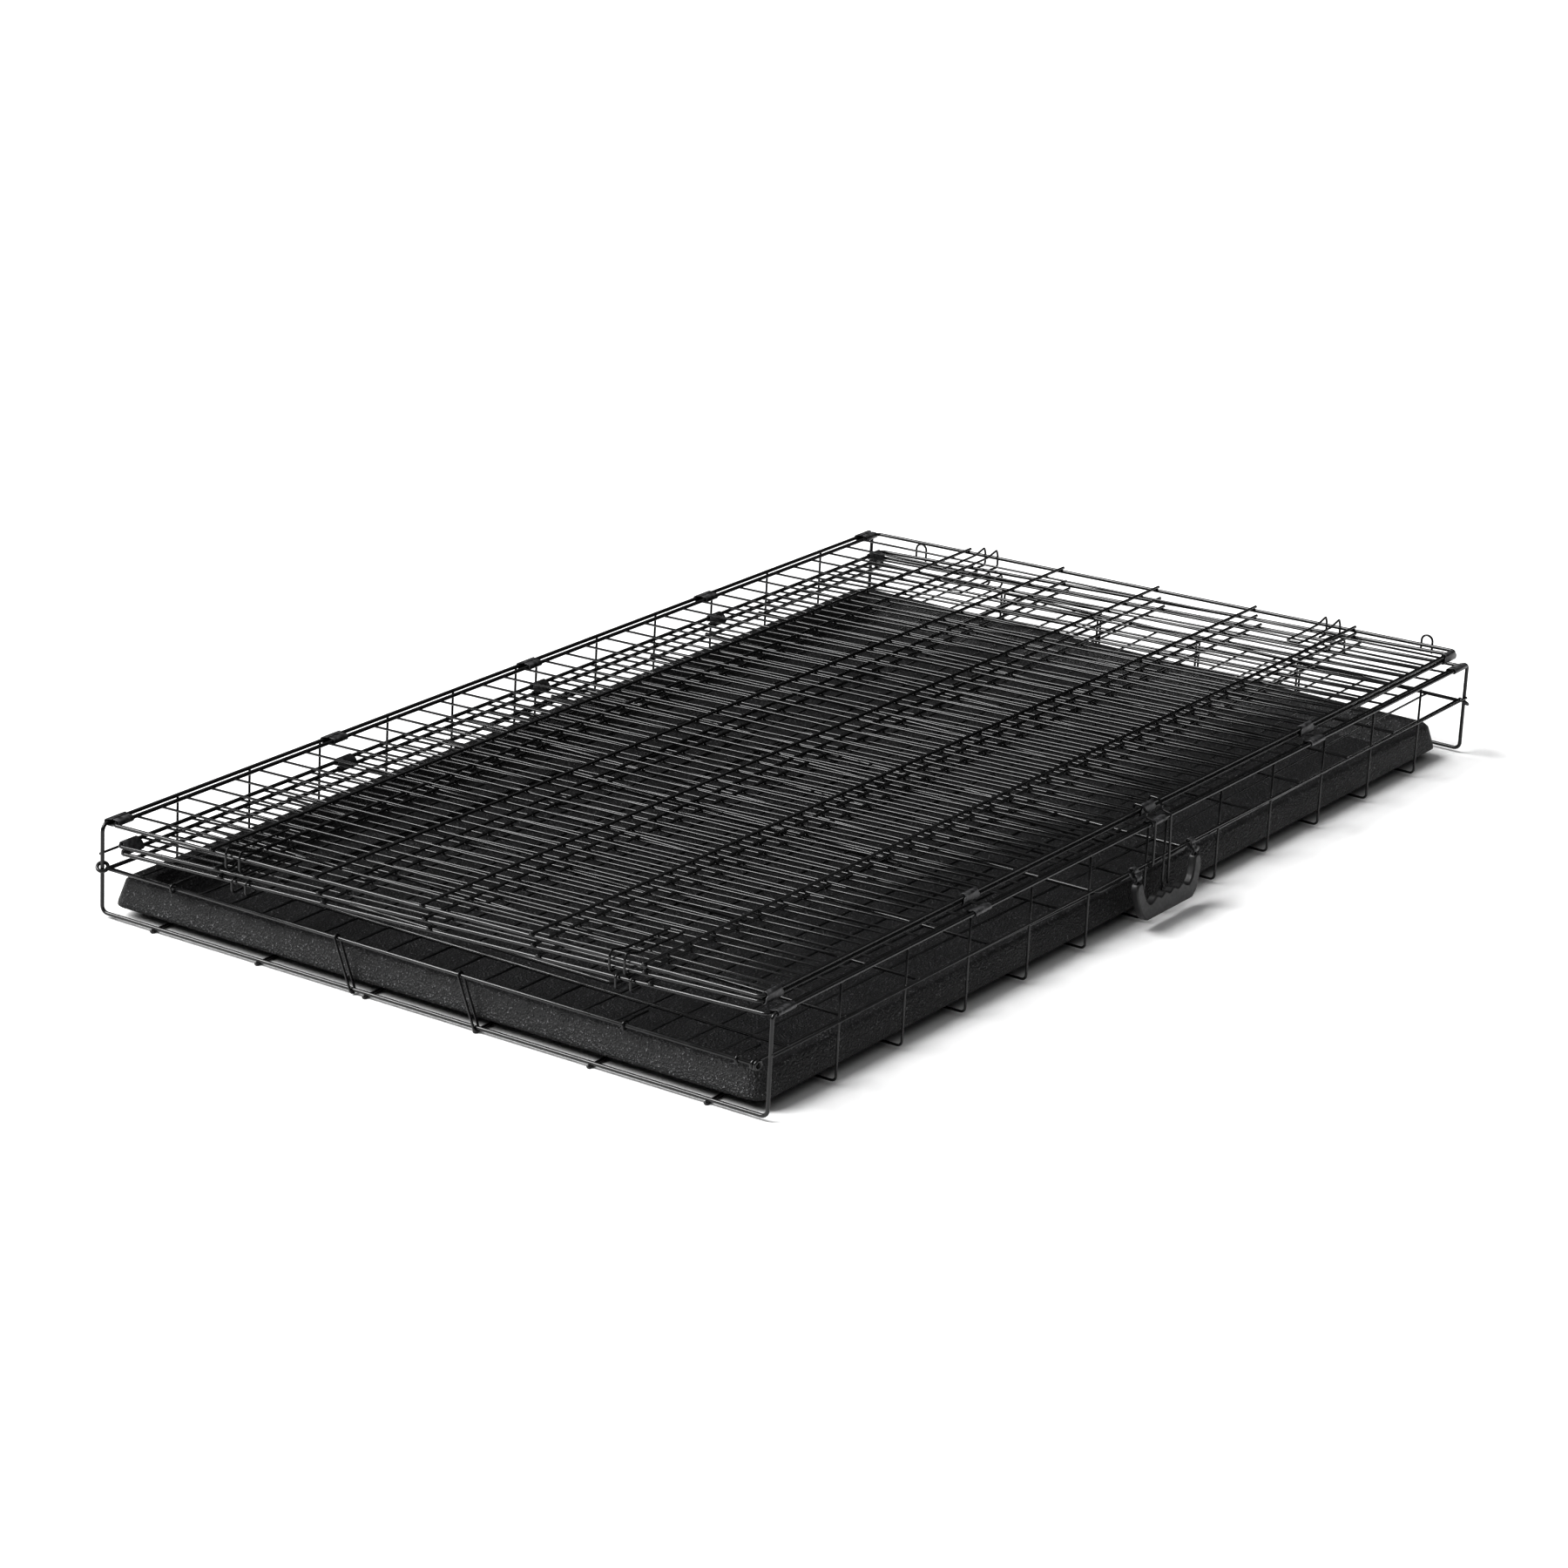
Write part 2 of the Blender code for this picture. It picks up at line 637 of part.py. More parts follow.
def handle_clamp(collection, material, name, side):
    """A folded sheet that holds the handle's bar to the lip's middle wire."""
    bm = bmesh.new()
    x = side * HANDLE_ARM_X
    add_extrusion(bm, clip_outline((0, 0), HANDLE_BAR), x - 0.0040, x + 0.0040)
    return place(collection, name, mesh_from(bm, name), material, (HANDLE_X, *HANDLE_AXIS), HANDLE_LEAN)


def fold_lock(collection, material):
    """A doubled wire that hangs from the stack's right edge and hooks under the lip's middle wire."""
    r = 0.0011
    half = 0.0139
    y0, z0 = ROOF_RIGHT
    mid_y, mid_z = HANDLE_AXIS
    reach = [
        (0.0048, 0.0025), (0.0048, 0.0075), (0.0030, 0.0088), (-0.0045, 0.0084), (-0.0085, 0.0030),
        (-0.0085, -0.0010), (-HALF_Y - 0.0052 - y0, 0.0960 - z0), (-HALF_Y - 0.0058 - y0, 0.0840 - z0),
        (mid_y - 0.0034 - y0, mid_z + 0.001 - z0), (mid_y - 0.0030 - y0, mid_z - 0.0040 - z0),
        (mid_y + 0.0006 - y0, mid_z - 0.0044 - z0),
    ]
    path = [(-half, y, z) for y, z in reversed(reach)]
    path += [(half, y, z) for y, z in reach]
    bm = bmesh.new()
    add_wire(bm, path, r)
    return place(collection, "fold_lock", mesh_from(bm, "fold_lock"), material, (0, y0, z0))


# ---- assembly ----
def main():
    clear_scene()
    crate = new_collection(COLLECTION)
    wire = wire_material("wire")
    sheet = clip_material("clip")
    plastic = tray_material("tray")
    grip = handle_material("handle")

    base_floor(crate, wire)
    base_lip(crate, wire, "base_lip_left", 1, LEFT_TOP_Z)
    base_lip(crate, wire, "base_lip_right", -1, RIGHT_TOP_Z)
    tray(crate, plastic)

    wall_panel(crate, wire, "lower_wall", LOWER_WALL_FOOT, LOWER_WALL_TOP, 1)
    wall_panel(crate, wire, "roof", ROOF_LEFT, ROOF_RIGHT, 1)
    wall_panel(crate, wire, "upper_wall", UPPER_WALL_TOP, UPPER_WALL_FOOT, 1)

    near_end_panel(crate, wire)
    far_end_panel(crate, wire)
    door(crate, wire)
    slide_bolt(crate, wire, "door_bolt_1", 0.116)
    slide_bolt(crate, wire, "door_bolt_2", 0.390)

    clip_row(crate, sheet, "clip_lip_right", (-HALF_Y, RIGHT_TOP_Z), LOWER_WALL_FOOT)
    clip_row(crate, sheet, "clip_lip_left", (HALF_Y, LEFT_TOP_Z), UPPER_WALL_FOOT)
    clip_row(crate, sheet, "clip_roof_left", LOWER_WALL_TOP, ROOF_LEFT)
    clip_row(crate, sheet, "clip_roof_right", ROOF_RIGHT, UPPER_WALL_TOP)

    for i, y in enumerate((-0.0495, 0.0810)):
        link_loop(crate, wire, f"near_link_{i + 1}", -HALF_X, y, FLOOR_CROSS_Z, NEAR_PANEL_Z, 0.0)
    for i, y in enumerate((-0.1655, -0.0490, 0.0680, 0.1845)):
        link_loop(crate, wire, f"far_link_{i + 1}", HALF_X, y, FLOOR_CROSS_Z, FAR_PANEL_Z, 0.0)

    lower = (LOWER_WALL_FOOT, LOWER_WALL_TOP)
    upper = (UPPER_WALL_TOP, UPPER_WALL_FOOT)
    for name, (foot, head) in (("lower_wall", lower), ("upper_wall", upper)):
        peak, drop = (0.0072, 0.0115) if name == "upper_wall" else (0.0036, 0.0086)
        for i, (along, side) in enumerate(((0.138, -1), (0.540, -1), (0.138, 1), (0.540, 1))):
            double_hook(crate, wire, f"{name}_hook_{i + 1}", foot, head, along, side, peak, drop)
    d_loop(crate, wire, "roof_loop_1", -0.304)
    d_loop(crate, wire, "roof_loop_2", 0.288)

    handle(crate, grip)
    handle_clamp(crate, sheet, "handle_clamp_1", -1)
    handle_clamp(crate, sheet, "handle_clamp_2", 1)
    fold_lock(crate, wire)


main()
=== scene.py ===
# %% [markdown]
# # A folding wire dog crate, lying flat
# A folding crate is a stack of welded wire grids: a base with two turned-up lips, two side walls and a
# roof hinged to each other, and an end panel at each end. Between base and stack lies a shallow plastic
# tray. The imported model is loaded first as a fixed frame. It says where every wire and hinge is, and each
# visual piece below is built on it and then rides on one of its bodies.

# %% Load the frame
import json
import math
import random

import bmesh
import bpy
from mathutils import Matrix, Vector


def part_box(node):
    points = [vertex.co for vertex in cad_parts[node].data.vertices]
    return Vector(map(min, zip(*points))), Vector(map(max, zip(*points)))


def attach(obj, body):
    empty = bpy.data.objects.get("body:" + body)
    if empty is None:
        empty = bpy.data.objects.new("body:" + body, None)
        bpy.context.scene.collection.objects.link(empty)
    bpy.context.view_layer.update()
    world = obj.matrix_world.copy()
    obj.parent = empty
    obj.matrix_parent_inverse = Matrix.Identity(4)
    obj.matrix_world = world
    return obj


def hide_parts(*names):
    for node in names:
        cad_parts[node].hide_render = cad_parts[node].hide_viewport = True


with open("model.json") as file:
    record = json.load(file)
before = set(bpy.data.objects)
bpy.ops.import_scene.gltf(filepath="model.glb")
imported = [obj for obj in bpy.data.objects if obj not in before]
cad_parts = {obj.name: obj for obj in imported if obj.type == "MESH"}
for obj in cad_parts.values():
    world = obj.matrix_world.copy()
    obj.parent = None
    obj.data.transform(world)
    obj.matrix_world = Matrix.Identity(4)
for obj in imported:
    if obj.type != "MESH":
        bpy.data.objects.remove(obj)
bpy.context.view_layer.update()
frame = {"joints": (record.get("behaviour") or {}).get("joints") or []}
joints = {joint["name"]: joint for joint in frame["joints"]}

# %% [markdown]
# ## Where the hinges are
# Each hinge clip on this crate is a bit of sheet folded round two parallel rails. The joints give one
# rail of each pair, and the clip's middle lies halfway to the other, so every rail can be worked out
# from the frame and nothing is placed by eye.

# %% Hinge lines
PITCH = 0.033           # spacing of the fine wires
CELLS = 37              # fine wire spaces along the crate
HALF_X = PITCH * CELLS / 2
FRAME_R = 0.0018        # radius of the frame wire
LONG_R = 0.0015         # radius of the long wires inside a panel
FINE_R = 0.0011         # radius of the fine wires
GAP = 0.0003            # hair gap between wires that only pass
RAIL_PLAY = 0.0025      # how far the loose upper wall has slid in its left clips


def joint_line(name):
    """The point (0, y, z) that a joint's axis goes through."""
    _, y, z = joints[name]["pos_m"]
    return Vector((0, y, z))


def middle_of(node):
    """The middle of a node's box, moved to x = 0."""
    low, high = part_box(node)
    middle = (low + high) / 2
    return Vector((0, middle.y, middle.z))


centre_y = joints["near_panel_lift"]["pos_m"][1]
lower_foot = joint_line("wall_raise")
roof_left = joint_line("roof_unfold")
upper_head = joint_line("upper_wall_unfold")
handle_axis = joint_line("handle_swing")
right_rail = 2 * middle_of("clip_lip_right_3") - lower_foot
lower_head = 2 * middle_of("clip_roof_left_3") - roof_left
roof_right = 2 * middle_of("clip_roof_right_3") - upper_head
left_rail = Vector((0, 2 * centre_y - right_rail.y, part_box("base_lip_left")[1].z - 0.91 * FRAME_R))
upper_foot = 2 * middle_of("clip_lip_left_3") - left_rail - Vector((0, RAIL_PLAY, 0))
half_y = (left_rail.y - right_rail.y) / 2
clip_places = [sum(corner.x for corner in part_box(f"clip_lip_left_{i}")) / 2 for i in range(1, 6)]
for label, line in (("right rail", right_rail), ("left rail", left_rail), ("upper wall foot", upper_foot)):
    print(f"{label}: y {line.y:.4f}, z {line.z:.4f}")

# %% [markdown]
# ## Finishes
# The wires have a satin black powder coat. Powder melts into a skin with a faint orange peel, so its
# highlight is soft and a little broken. A noise texture drives a small bump and a small change of
# roughness. Object coordinates are in metres here, so a noise scale of 900 gives lumps about 1 mm wide.

# %% Powder coat for the wires


def new_finish(name, colour, roughness):
    """A material with a Principled shader, and the few nodes that every finish here starts from."""
    material = bpy.data.materials.new(name)
    material.use_nodes = True
    nodes = material.node_tree.nodes
    shader = nodes["Principled BSDF"]
    shader.inputs["Base Color"].default_value = (*colour, 1)
    shader.inputs["Roughness"].default_value = roughness
    place = nodes.new("ShaderNodeTexCoord")
    return material, shader, place.outputs["Object"]


def noise(material, place, scale, detail=2.0):
    """A noise texture on the object's own coordinates."""
    texture = material.node_tree.nodes.new("ShaderNodeTexNoise")
    texture.inputs["Scale"].default_value = scale
    texture.inputs["Detail"].default_value = detail
    material.node_tree.links.new(place, texture.inputs["Vector"])
    return texture.outputs["Fac"]


def remap(material, value, low, high, start=0.35, end=0.65):
    """Maps a texture's middle range onto low and high."""
    node = material.node_tree.nodes.new("ShaderNodeMapRange")
    node.inputs["From Min"].default_value = start
    node.inputs["From Max"].default_value = end
    node.inputs["To Min"].default_value = low
    node.inputs["To Max"].default_value = high
    material.node_tree.links.new(value, node.inputs["Value"])
    return node.outputs["Result"]


def blend_colours(material, value, first, second, start=0.35, end=0.65):
    """A colour ramp between two colours."""
    ramp = material.node_tree.nodes.new("ShaderNodeValToRGB")
    ramp.color_ramp.elements[0].position = start
    ramp.color_ramp.elements[0].color = (*first, 1)
    ramp.color_ramp.elements[1].position = end
    ramp.color_ramp.elements[1].color = (*second, 1)
    material.node_tree.links.new(value, ramp.inputs["Fac"])
    return ramp.outputs["Color"]


def bump(material, shader, value, distance, strength=1.0):
    """Raises and lowers the surface's normal by a texture."""
    node = material.node_tree.nodes.new("ShaderNodeBump")
    node.inputs["Distance"].default_value = distance
    node.inputs["Strength"].default_value = strength
    material.node_tree.links.new(value, node.inputs["Height"])
    material.node_tree.links.new(node.outputs["Normal"], shader.inputs["Normal"])


def powder_coat():
    material, shader, place = new_finish("powder_coat", (0.008, 0.008, 0.009), 0.30)
    links = material.node_tree.links
    patches = noise(material, place, 70, 3)
    peel = noise(material, place, 900, 2)
    links.new(remap(material, patches, 0.20, 0.29), shader.inputs["Roughness"])
    shader.inputs["Specular IOR Level"].default_value = 0.5
    links.new(blend_colours(material, patches, (0.004, 0.004, 0.0043), (0.008, 0.008, 0.0084)),
              shader.inputs["Base Color"])
    bump(material, shader, peel, 0.00005, 0.5)
    return material


wire_finish = powder_coat()
print("made", wire_finish.name)

# %% [markdown]
# The hinge clips are pressed from thin sheet and blackened. Folding leaves them a little brighter and
# scuffed, so the noise has a coarse and a fine part, and the sheet is partly metallic.

# %% Blackened sheet for the clips


def pressed_sheet():
    material, shader, place = new_finish("pressed_sheet", (0.02, 0.02, 0.02), 0.38)
    links = material.node_tree.links
    scuffs = noise(material, place, 240, 5)
    links.new(blend_colours(material, scuffs, (0.030, 0.030, 0.031), (0.120, 0.120, 0.124), 0.40, 0.70),
              shader.inputs["Base Color"])
    links.new(remap(material, scuffs, 0.30, 0.50), shader.inputs["Roughness"])
    shader.inputs["Metallic"].default_value = 0.35
    bump(material, shader, noise(material, place, 600, 2), 0.0001, 0.5)
    return material


clip_finish = pressed_sheet()
print("made", clip_finish.name)

# %% [markdown]
# The tray is moulded with a coarse leather-like grain that catches the light as pale specks. Voronoi
# cells a millimetre and a half wide make the pebbles, and noise breaks up their rows. The same pattern
# also paints the tops of the pebbles pale: painted glints, standing in for the light the grain catches.

# %% Grained plastic for the tray
PEBBLE_DEPTH = 0.45


def grained_plastic():
    material, shader, place = new_finish("grained_plastic", (0.02, 0.02, 0.02), 0.5)
    nodes = material.node_tree.nodes
    links = material.node_tree.links
    cells = nodes.new("ShaderNodeTexVoronoi")
    cells.feature = "F1"
    cells.inputs["Scale"].default_value = 560
    links.new(place, cells.inputs["Vector"])
    crumbs = noise(material, place, 430, 3)
    pebbles = nodes.new("ShaderNodeMath")
    pebbles.operation = "MULTIPLY"
    pebbles.inputs[1].default_value = PEBBLE_DEPTH
    links.new(cells.outputs["Distance"], pebbles.inputs[0])
    mix = nodes.new("ShaderNodeMath")
    mix.operation = "SUBTRACT"
    links.new(crumbs, mix.inputs[0])
    links.new(pebbles.outputs["Value"], mix.inputs[1])
    height = mix.outputs["Value"]
    # painted glints: the pebble tops are painted pale, standing in for the light that the grain catches
    links.new(blend_colours(material, height, (0.012, 0.012, 0.0125), (0.190, 0.190, 0.195), 0.40, 0.62),
              shader.inputs["Base Color"])
    links.new(remap(material, noise(material, place, 14, 3), 0.36, 0.50), shader.inputs["Roughness"])
    shader.inputs["Specular IOR Level"].default_value = 0.3
    bump(material, shader, height, 0.0018, 1.0)
    return material


tray_finish = grained_plastic()
print("made", tray_finish.name)

# %% [markdown]
# The handle is a smoother moulding with a fine satin texture, a shade greyer than the wires.

# %% Satin plastic for the handle


def satin_plastic():
    material, shader, place = new_finish("satin_plastic", (0.012, 0.012, 0.013), 0.45)
    links = material.node_tree.links
    links.new(blend_colours(material, noise(material, place, 60, 4), (0.009, 0.009, 0.0095), (0.016, 0.016, 0.0165)),
              shader.inputs["Base Color"])
    links.new(remap(material, noise(material, place, 300, 3), 0.40, 0.52), shader.inputs["Roughness"])
    bump(material, shader, noise(material, place, 1800, 2), 0.00006, 0.6)
    return material


handle_finish = satin_plastic()
print("made", handle_finish.name)

# %% [markdown]
# ## Drawing a wire
# Real wire is straight between bends, and each bend is an arc. So a wire starts as one circle of edges.
# Extruding its edges and moving the new ones draws a straight run, and spinning them round a point draws
# a bend. A curve with a bevel would also work, but this way each bend has exactly the radius it is given.

# %% Wire helpers
WIRE_SIDES = 12


def edges_of(made):
    return [item for item in made if isinstance(item, bmesh.types.BMEdge)]


def verts_of(edges):
    return list({vert for edge in edges for vert in edge.verts})


def wire_start(bm, place, heading, radius):
    """A circle of edges across the heading."""
    turn = heading.to_track_quat("Z", "Y").to_matrix().to_4x4()
    made = bmesh.ops.create_circle(
        bm, cap_ends=False, segments=WIRE_SIDES, radius=radius, matrix=Matrix.Translation(place) @ turn)
    return list({edge for vert in made["verts"] for edge in vert.link_edges})


def run_on(bm, ring, offset, size=1.0):
    """Draws the ring out by offset, and scales the new ring about its middle."""
    made = bmesh.ops.extrude_edge_only(bm, edges=ring)["geom"]
    ring = edges_of(made)
    verts = verts_of(ring)
    bmesh.ops.translate(bm, vec=offset, verts=verts)
    if size != 1.0:
        middle = sum((vert.co for vert in verts), Vector()) / len(verts)
        bmesh.ops.scale(bm, vec=(size,) * 3, space=Matrix.Translation(-middle), verts=verts)
    return ring


def bend_on(bm, ring, centre, axis, angle):
    """Turns the ring round the axis, leaving a bend behind it."""
    steps = max(1, math.ceil(angle / 0.35))
    made = bmesh.ops.spin(
        bm, geom=ring + verts_of(ring), cent=centre, axis=axis, angle=angle, steps=steps, use_duplicate=False)
    return edges_of(made["geom_last"])


def wire_end(bm, ring, heading, radius):
    """Closes a cut end with a slightly rounded face."""
    ring = run_on(bm, ring, heading * radius * 0.3, 0.72)
    bmesh.ops.contextual_create(bm, geom=ring)


def wire(bm, points, radius, bend=0.004, closed=False):
    """A round wire through the points, each corner rounded to the bend radius (one number, or one a corner)."""
    corners = [Vector(point) for point in points]
    if closed:
        seam = (corners[0] + corners[-1]) / 2
        corners = [seam, *corners, seam]
    bends = bend if isinstance(bend, (list, tuple)) else [bend] * len(corners)
    place = corners[0]
    heading = (corners[1] - place).normalized()
    first = wire_start(bm, place, heading, radius)
    ring = first
    if not closed:
        wire_end(bm, first, -heading, radius)
    for i in range(1, len(corners) - 1):
        corner = corners[i]
        onward = (corners[i + 1] - corner).normalized()
        angle = heading.angle(onward)
        room = 0.49 * min((corner - corners[i - 1]).length, (corners[i + 1] - corner).length)
        setback = min(bends[i - 1] * math.tan(angle / 2), room)
        arc_start = corner - heading * setback
        ring = run_on(bm, ring, arc_start - place)
        if angle > 0.001:
            axis = heading.cross(onward).normalized()
            reach = setback / math.tan(angle / 2)
            ring = bend_on(bm, ring, arc_start + axis.cross(heading) * reach, axis, angle)
        place = corner + onward * setback
        heading = onward
    ring = run_on(bm, ring, corners[-1] - place)
    if closed:
        bmesh.ops.remove_doubles(bm, verts=verts_of(first) + verts_of(ring), dist=2e-5)
    else:
        wire_end(bm, ring, heading, radius)


def wire_ring(bm, centre, normal, major, radius):
    """A full ring of wire."""
    axis = Vector(normal).normalized()
    out = axis.orthogonal().normalized()
    ring = wire_start(bm, Vector(centre) + out * major, axis.cross(out), radius)
    bmesh.ops.spin(bm, geom=ring + verts_of(ring), cent=centre, axis=axis, angle=math.tau, steps=20,
                   use_merge=True, use_duplicate=False)


def wire_link(bm, low, high, room, radius):
    """A long closed loop round two wires that run along Y, at low and high."""
    low, high = Vector(low), Vector(high)
    heading = (high - low).normalized()
    out = Vector((1, 0, 0))
    out = (out - heading * out.dot(heading)).normalized()
    axis = out.cross(heading)
    first = wire_start(bm, low - out * room, heading, radius)
    ring = run_on(bm, first, high - low)
    ring = bend_on(bm, ring, high, -axis, math.pi)
    ring = run_on(bm, ring, low - high)
    ring = bend_on(bm, ring, low, -axis, math.pi)
    bmesh.ops.remove_doubles(bm, verts=verts_of(first) + verts_of(ring), dist=2e-5)


# %% [markdown]
# Where two wires cross they are spot welded: they sink into each other a little, and the coat fills the
# corners. A flattened icosphere between them makes that lump. There are about a thousand of them, so
# each has only twenty faces.

# %% Weld helper
WELD_SPREAD = 0.72      # how far a good weld spreads, against a sloppy one


def weld(bm, place, wide=0.0019, thick=0.0014):
    """The small lump where two wires cross."""
    spread = wide * WELD_SPREAD
    shape = Matrix.Diagonal((spread, spread, thick, 1))
    bmesh.ops.create_icosphere(bm, subdivisions=1, radius=1.0, matrix=Matrix.Translation(place) @ shape)


# %% [markdown]
# Every piece is finished the same way. Its faces are turned outwards, the round faces are shaded smooth
# and the cut ends flat, and it is put in the scene at the origin with its place in its mesh. Then it
# takes its finish, rides on its body and hides the nodes of the frame that it stands for.

# %% Finishing a piece


def finished(bm, name, finish, body, nodes):
    """Turns a bmesh into a piece of the crate."""
    bmesh.ops.recalc_face_normals(bm, faces=bm.faces)
    for face in bm.faces:
        face.smooth = len(face.verts) <= 4
    mesh = bpy.data.meshes.new(name)
    bm.to_mesh(mesh)
    bm.free()
    mesh.materials.append(finish)
    piece = bpy.data.objects.new(name, mesh)
    bpy.context.scene.collection.objects.link(piece)
    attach(piece, body)
    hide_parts(*nodes)
    print(f"{name}: {len(mesh.polygons)} faces, rides on {body}")
    return piece


# %% [markdown]
# ## The base
# One long hoop of frame wire makes the base's outline: across the floor at the near end, up a corner,
# along the left lip's rail, down at the far end and back along the right lip. Twelve finer wires bend up
# from the floor to the rails, six long wires lie under them, and one more runs along each lip halfway up.

# %% Base heights
LONG_Z = LONG_R
HOOP_Z = LONG_R * 2 + FRAME_R - 0.0004
CROSS_Z = LONG_R * 2 + FINE_R - 0.0001
cross_places = [-HALF_X + 3 * PITCH * k for k in range(1, 7)]
cross_places += [-x for x in reversed(cross_places)]
mid_wire_y = half_y + 2 * FINE_R + GAP
mid_wire_z = handle_axis.z
print(f"{len(cross_places)} cross wires between the ends; the lips' middle wires are {mid_wire_z:.4f} up")

# %% Base
steady = random.Random(37)


def build_base():
    bm = bmesh.new()
    left, right = left_rail.y, right_rail.y
    top_left, top_right = left_rail.z, right_rail.z
    hoop = [
        (-HALF_X, right, HOOP_Z), (-HALF_X, left, HOOP_Z), (-HALF_X, left, top_left), (HALF_X, left, top_left),
        (HALF_X, left, HOOP_Z), (HALF_X, right, HOOP_Z), (HALF_X, right, top_right), (-HALF_X, right, top_right),
    ]
    wire(bm, hoop, FRAME_R, bend=[0.006, 0.006, 0.008, 0.008, 0.006, 0.006, 0.004, 0.004], closed=True)
    for x in cross_places:
        lean = steady.uniform(-0.0006, 0.0006)
        legs = [(x + lean, left, top_left), (x, left, CROSS_Z), (x, right, CROSS_Z), (x - lean, right, top_right)]
        wire(bm, legs, FINE_R, bend=0.0045)
        weld(bm, (x + lean, left, top_left - 0.0010), 0.0021, 0.0018)
        weld(bm, (x - lean, right, top_right - 0.0010), 0.0021, 0.0018)
        for side, rail_y in ((1, left), (-1, right)):
            weld(bm, (x, rail_y + side * 0.0012, mid_wire_z), 0.0019, 0.0019)
    for k in range(6):
        y = centre_y + (k - 2.5) * half_y / 3
        wire(bm, [(-HALF_X - 0.003, y, LONG_Z), (HALF_X + 0.003, y, LONG_Z)], LONG_R)
        for x in cross_places:
            weld(bm, (x, y, CROSS_Z - 0.0011), 0.0020, 0.0013)
        for x in (-HALF_X, HALF_X):
            weld(bm, (x, y, HOOP_Z - 0.0016), 0.0026, 0.0015)
    for side in (1, -1):
        y = centre_y + side * mid_wire_y
        wire(bm, [(-HALF_X - 0.0005, y, mid_wire_z), (HALF_X + 0.0005, y, mid_wire_z)], FINE_R)
        for x in (-HALF_X, HALF_X):
            weld(bm, (x, y - side * 0.0012, mid_wire_z), 0.0021, 0.0019)
    return finished(bm, "base_grid", wire_finish, "base", ["base_floor", "base_lip_left", "base_lip_right"])


base_grid = build_base()

# %% [markdown]
# ## Side walls and roof
# All three are the same kind of grid. A hoop of frame wire has thirty-six fine wires across it and five
# long wires lying on those. Fine wire is never quite straight after welding, so each one wanders by a
# few tenths of a millimetre between its welds. The numbers come from a seeded generator, so every run
# gives the same crate.

# %% Wall panels
WIRE_TAIL = 0.0012      # how far a fine wire runs on past the middle of its rail


def wall_panel(name, foot, head, body):
    bm = bmesh.new()
    length = (head - foot).length
    along = (head - foot).normalized()
    up = Vector((1, 0, 0)).cross(along)
    up = up if up.z > 0 else -up

    def at(x, u, w=0.0):
        return Vector((x, 0, 0)) + foot + along * u + up * w

    end = HALF_X - 0.003
    corners = [at(-end, 0), at(end, 0), at(end, length), at(-end, length)]
    wire(bm, corners, FRAME_R, bend=0.005, closed=True)
    lift = FINE_R + LONG_R + GAP
    stations = [length * k / 6 for k in range(1, 6)]
    for k in range(1, CELLS):
        x = -HALF_X + PITCH * k
        bow = steady.uniform(-0.0007, 0.0007)
        across = [x + bow * math.sin(math.pi * u / length) + steady.uniform(-0.0003, 0.0003) for u in stations]
        middle = [at(shifted, u, 0.0001) for shifted, u in zip(across, stations)]
        wire(bm, [at(x, -WIRE_TAIL), *middle, at(x, length + WIRE_TAIL)], FINE_R, bend=0.05)
        for u in (0, length):
            weld(bm, at(x, u), 0.0021, 0.0019)
        for shifted, u in zip(across, stations):
            weld(bm, at(shifted, u, lift / 2 - 0.0002), 0.0018, 0.0013)
    for u in stations:
        wire(bm, [at(-end - 0.004, u, lift), at(end + 0.004, u, lift)], LONG_R)
        for x in (-end, end):
            weld(bm, at(x, u, lift / 2), 0.0024, 0.0014)
    return finished(bm, name, wire_finish, body, [body])


lower_wall_grid = wall_panel("lower_wall_grid", lower_foot, lower_head, "lower_wall")
roof_grid = wall_panel("roof_grid", roof_left, roof_right, "roof")
upper_wall_grid = wall_panel("upper_wall_grid", upper_head, upper_foot, "upper_wall")

# %% [markdown]
# ## End panels
# Each end panel turns on a bottom bar. One end of the bar is an eye round a corner wire of the base, and
# the other stops short in a coil, because the two panels stand a little off centre. Folded, a panel lies
# inwards on the tray, its top sagging a few millimetres. The near one has the doorway, a gap in its grid
# with a bar above and below. Small wire curls hang on its bottom bar.

# %% End panel layout
PANEL_LENGTH = 0.700
PANEL_WIRES = 19
DOORWAY_X = (0.050, 0.480)
NEAR_LONG_X = (0.134, 0.2465, 0.3595)
FAR_LONG_X = (0.140, 0.235, 0.330, 0.425, 0.590)


def panel_frame(side, joint, sag):
    """A function that turns (distance from the bottom bar, y, height) into a place in the frame."""
    x0, _, z0 = joints[joint]["pos_m"]
    dip = math.asin(sag / PANEL_LENGTH)
    inward = Vector((-side * math.cos(dip), 0, -math.sin(dip)))
    up = Vector((-side * math.sin(dip), 0, math.cos(dip)))

    def at(u, y, w=0.0):
        return Vector((x0, y, z0)) + inward * u + up * w

    return at


near_at = panel_frame(-1, "near_panel_lift", 0.008)
far_at = panel_frame(1, "far_panel_lift", 0.006)
near_low_y = centre_y - 0.332
near_high_y = centre_y + half_y - 0.006
far_low_y = centre_y - half_y + 0.006
far_high_y = centre_y + 0.332
panel_step = (near_high_y - near_low_y) / (PANEL_WIRES + 1)
print(f"fine wires of the end panels are {panel_step * 1000:.1f} mm apart")

# %% End panel helpers


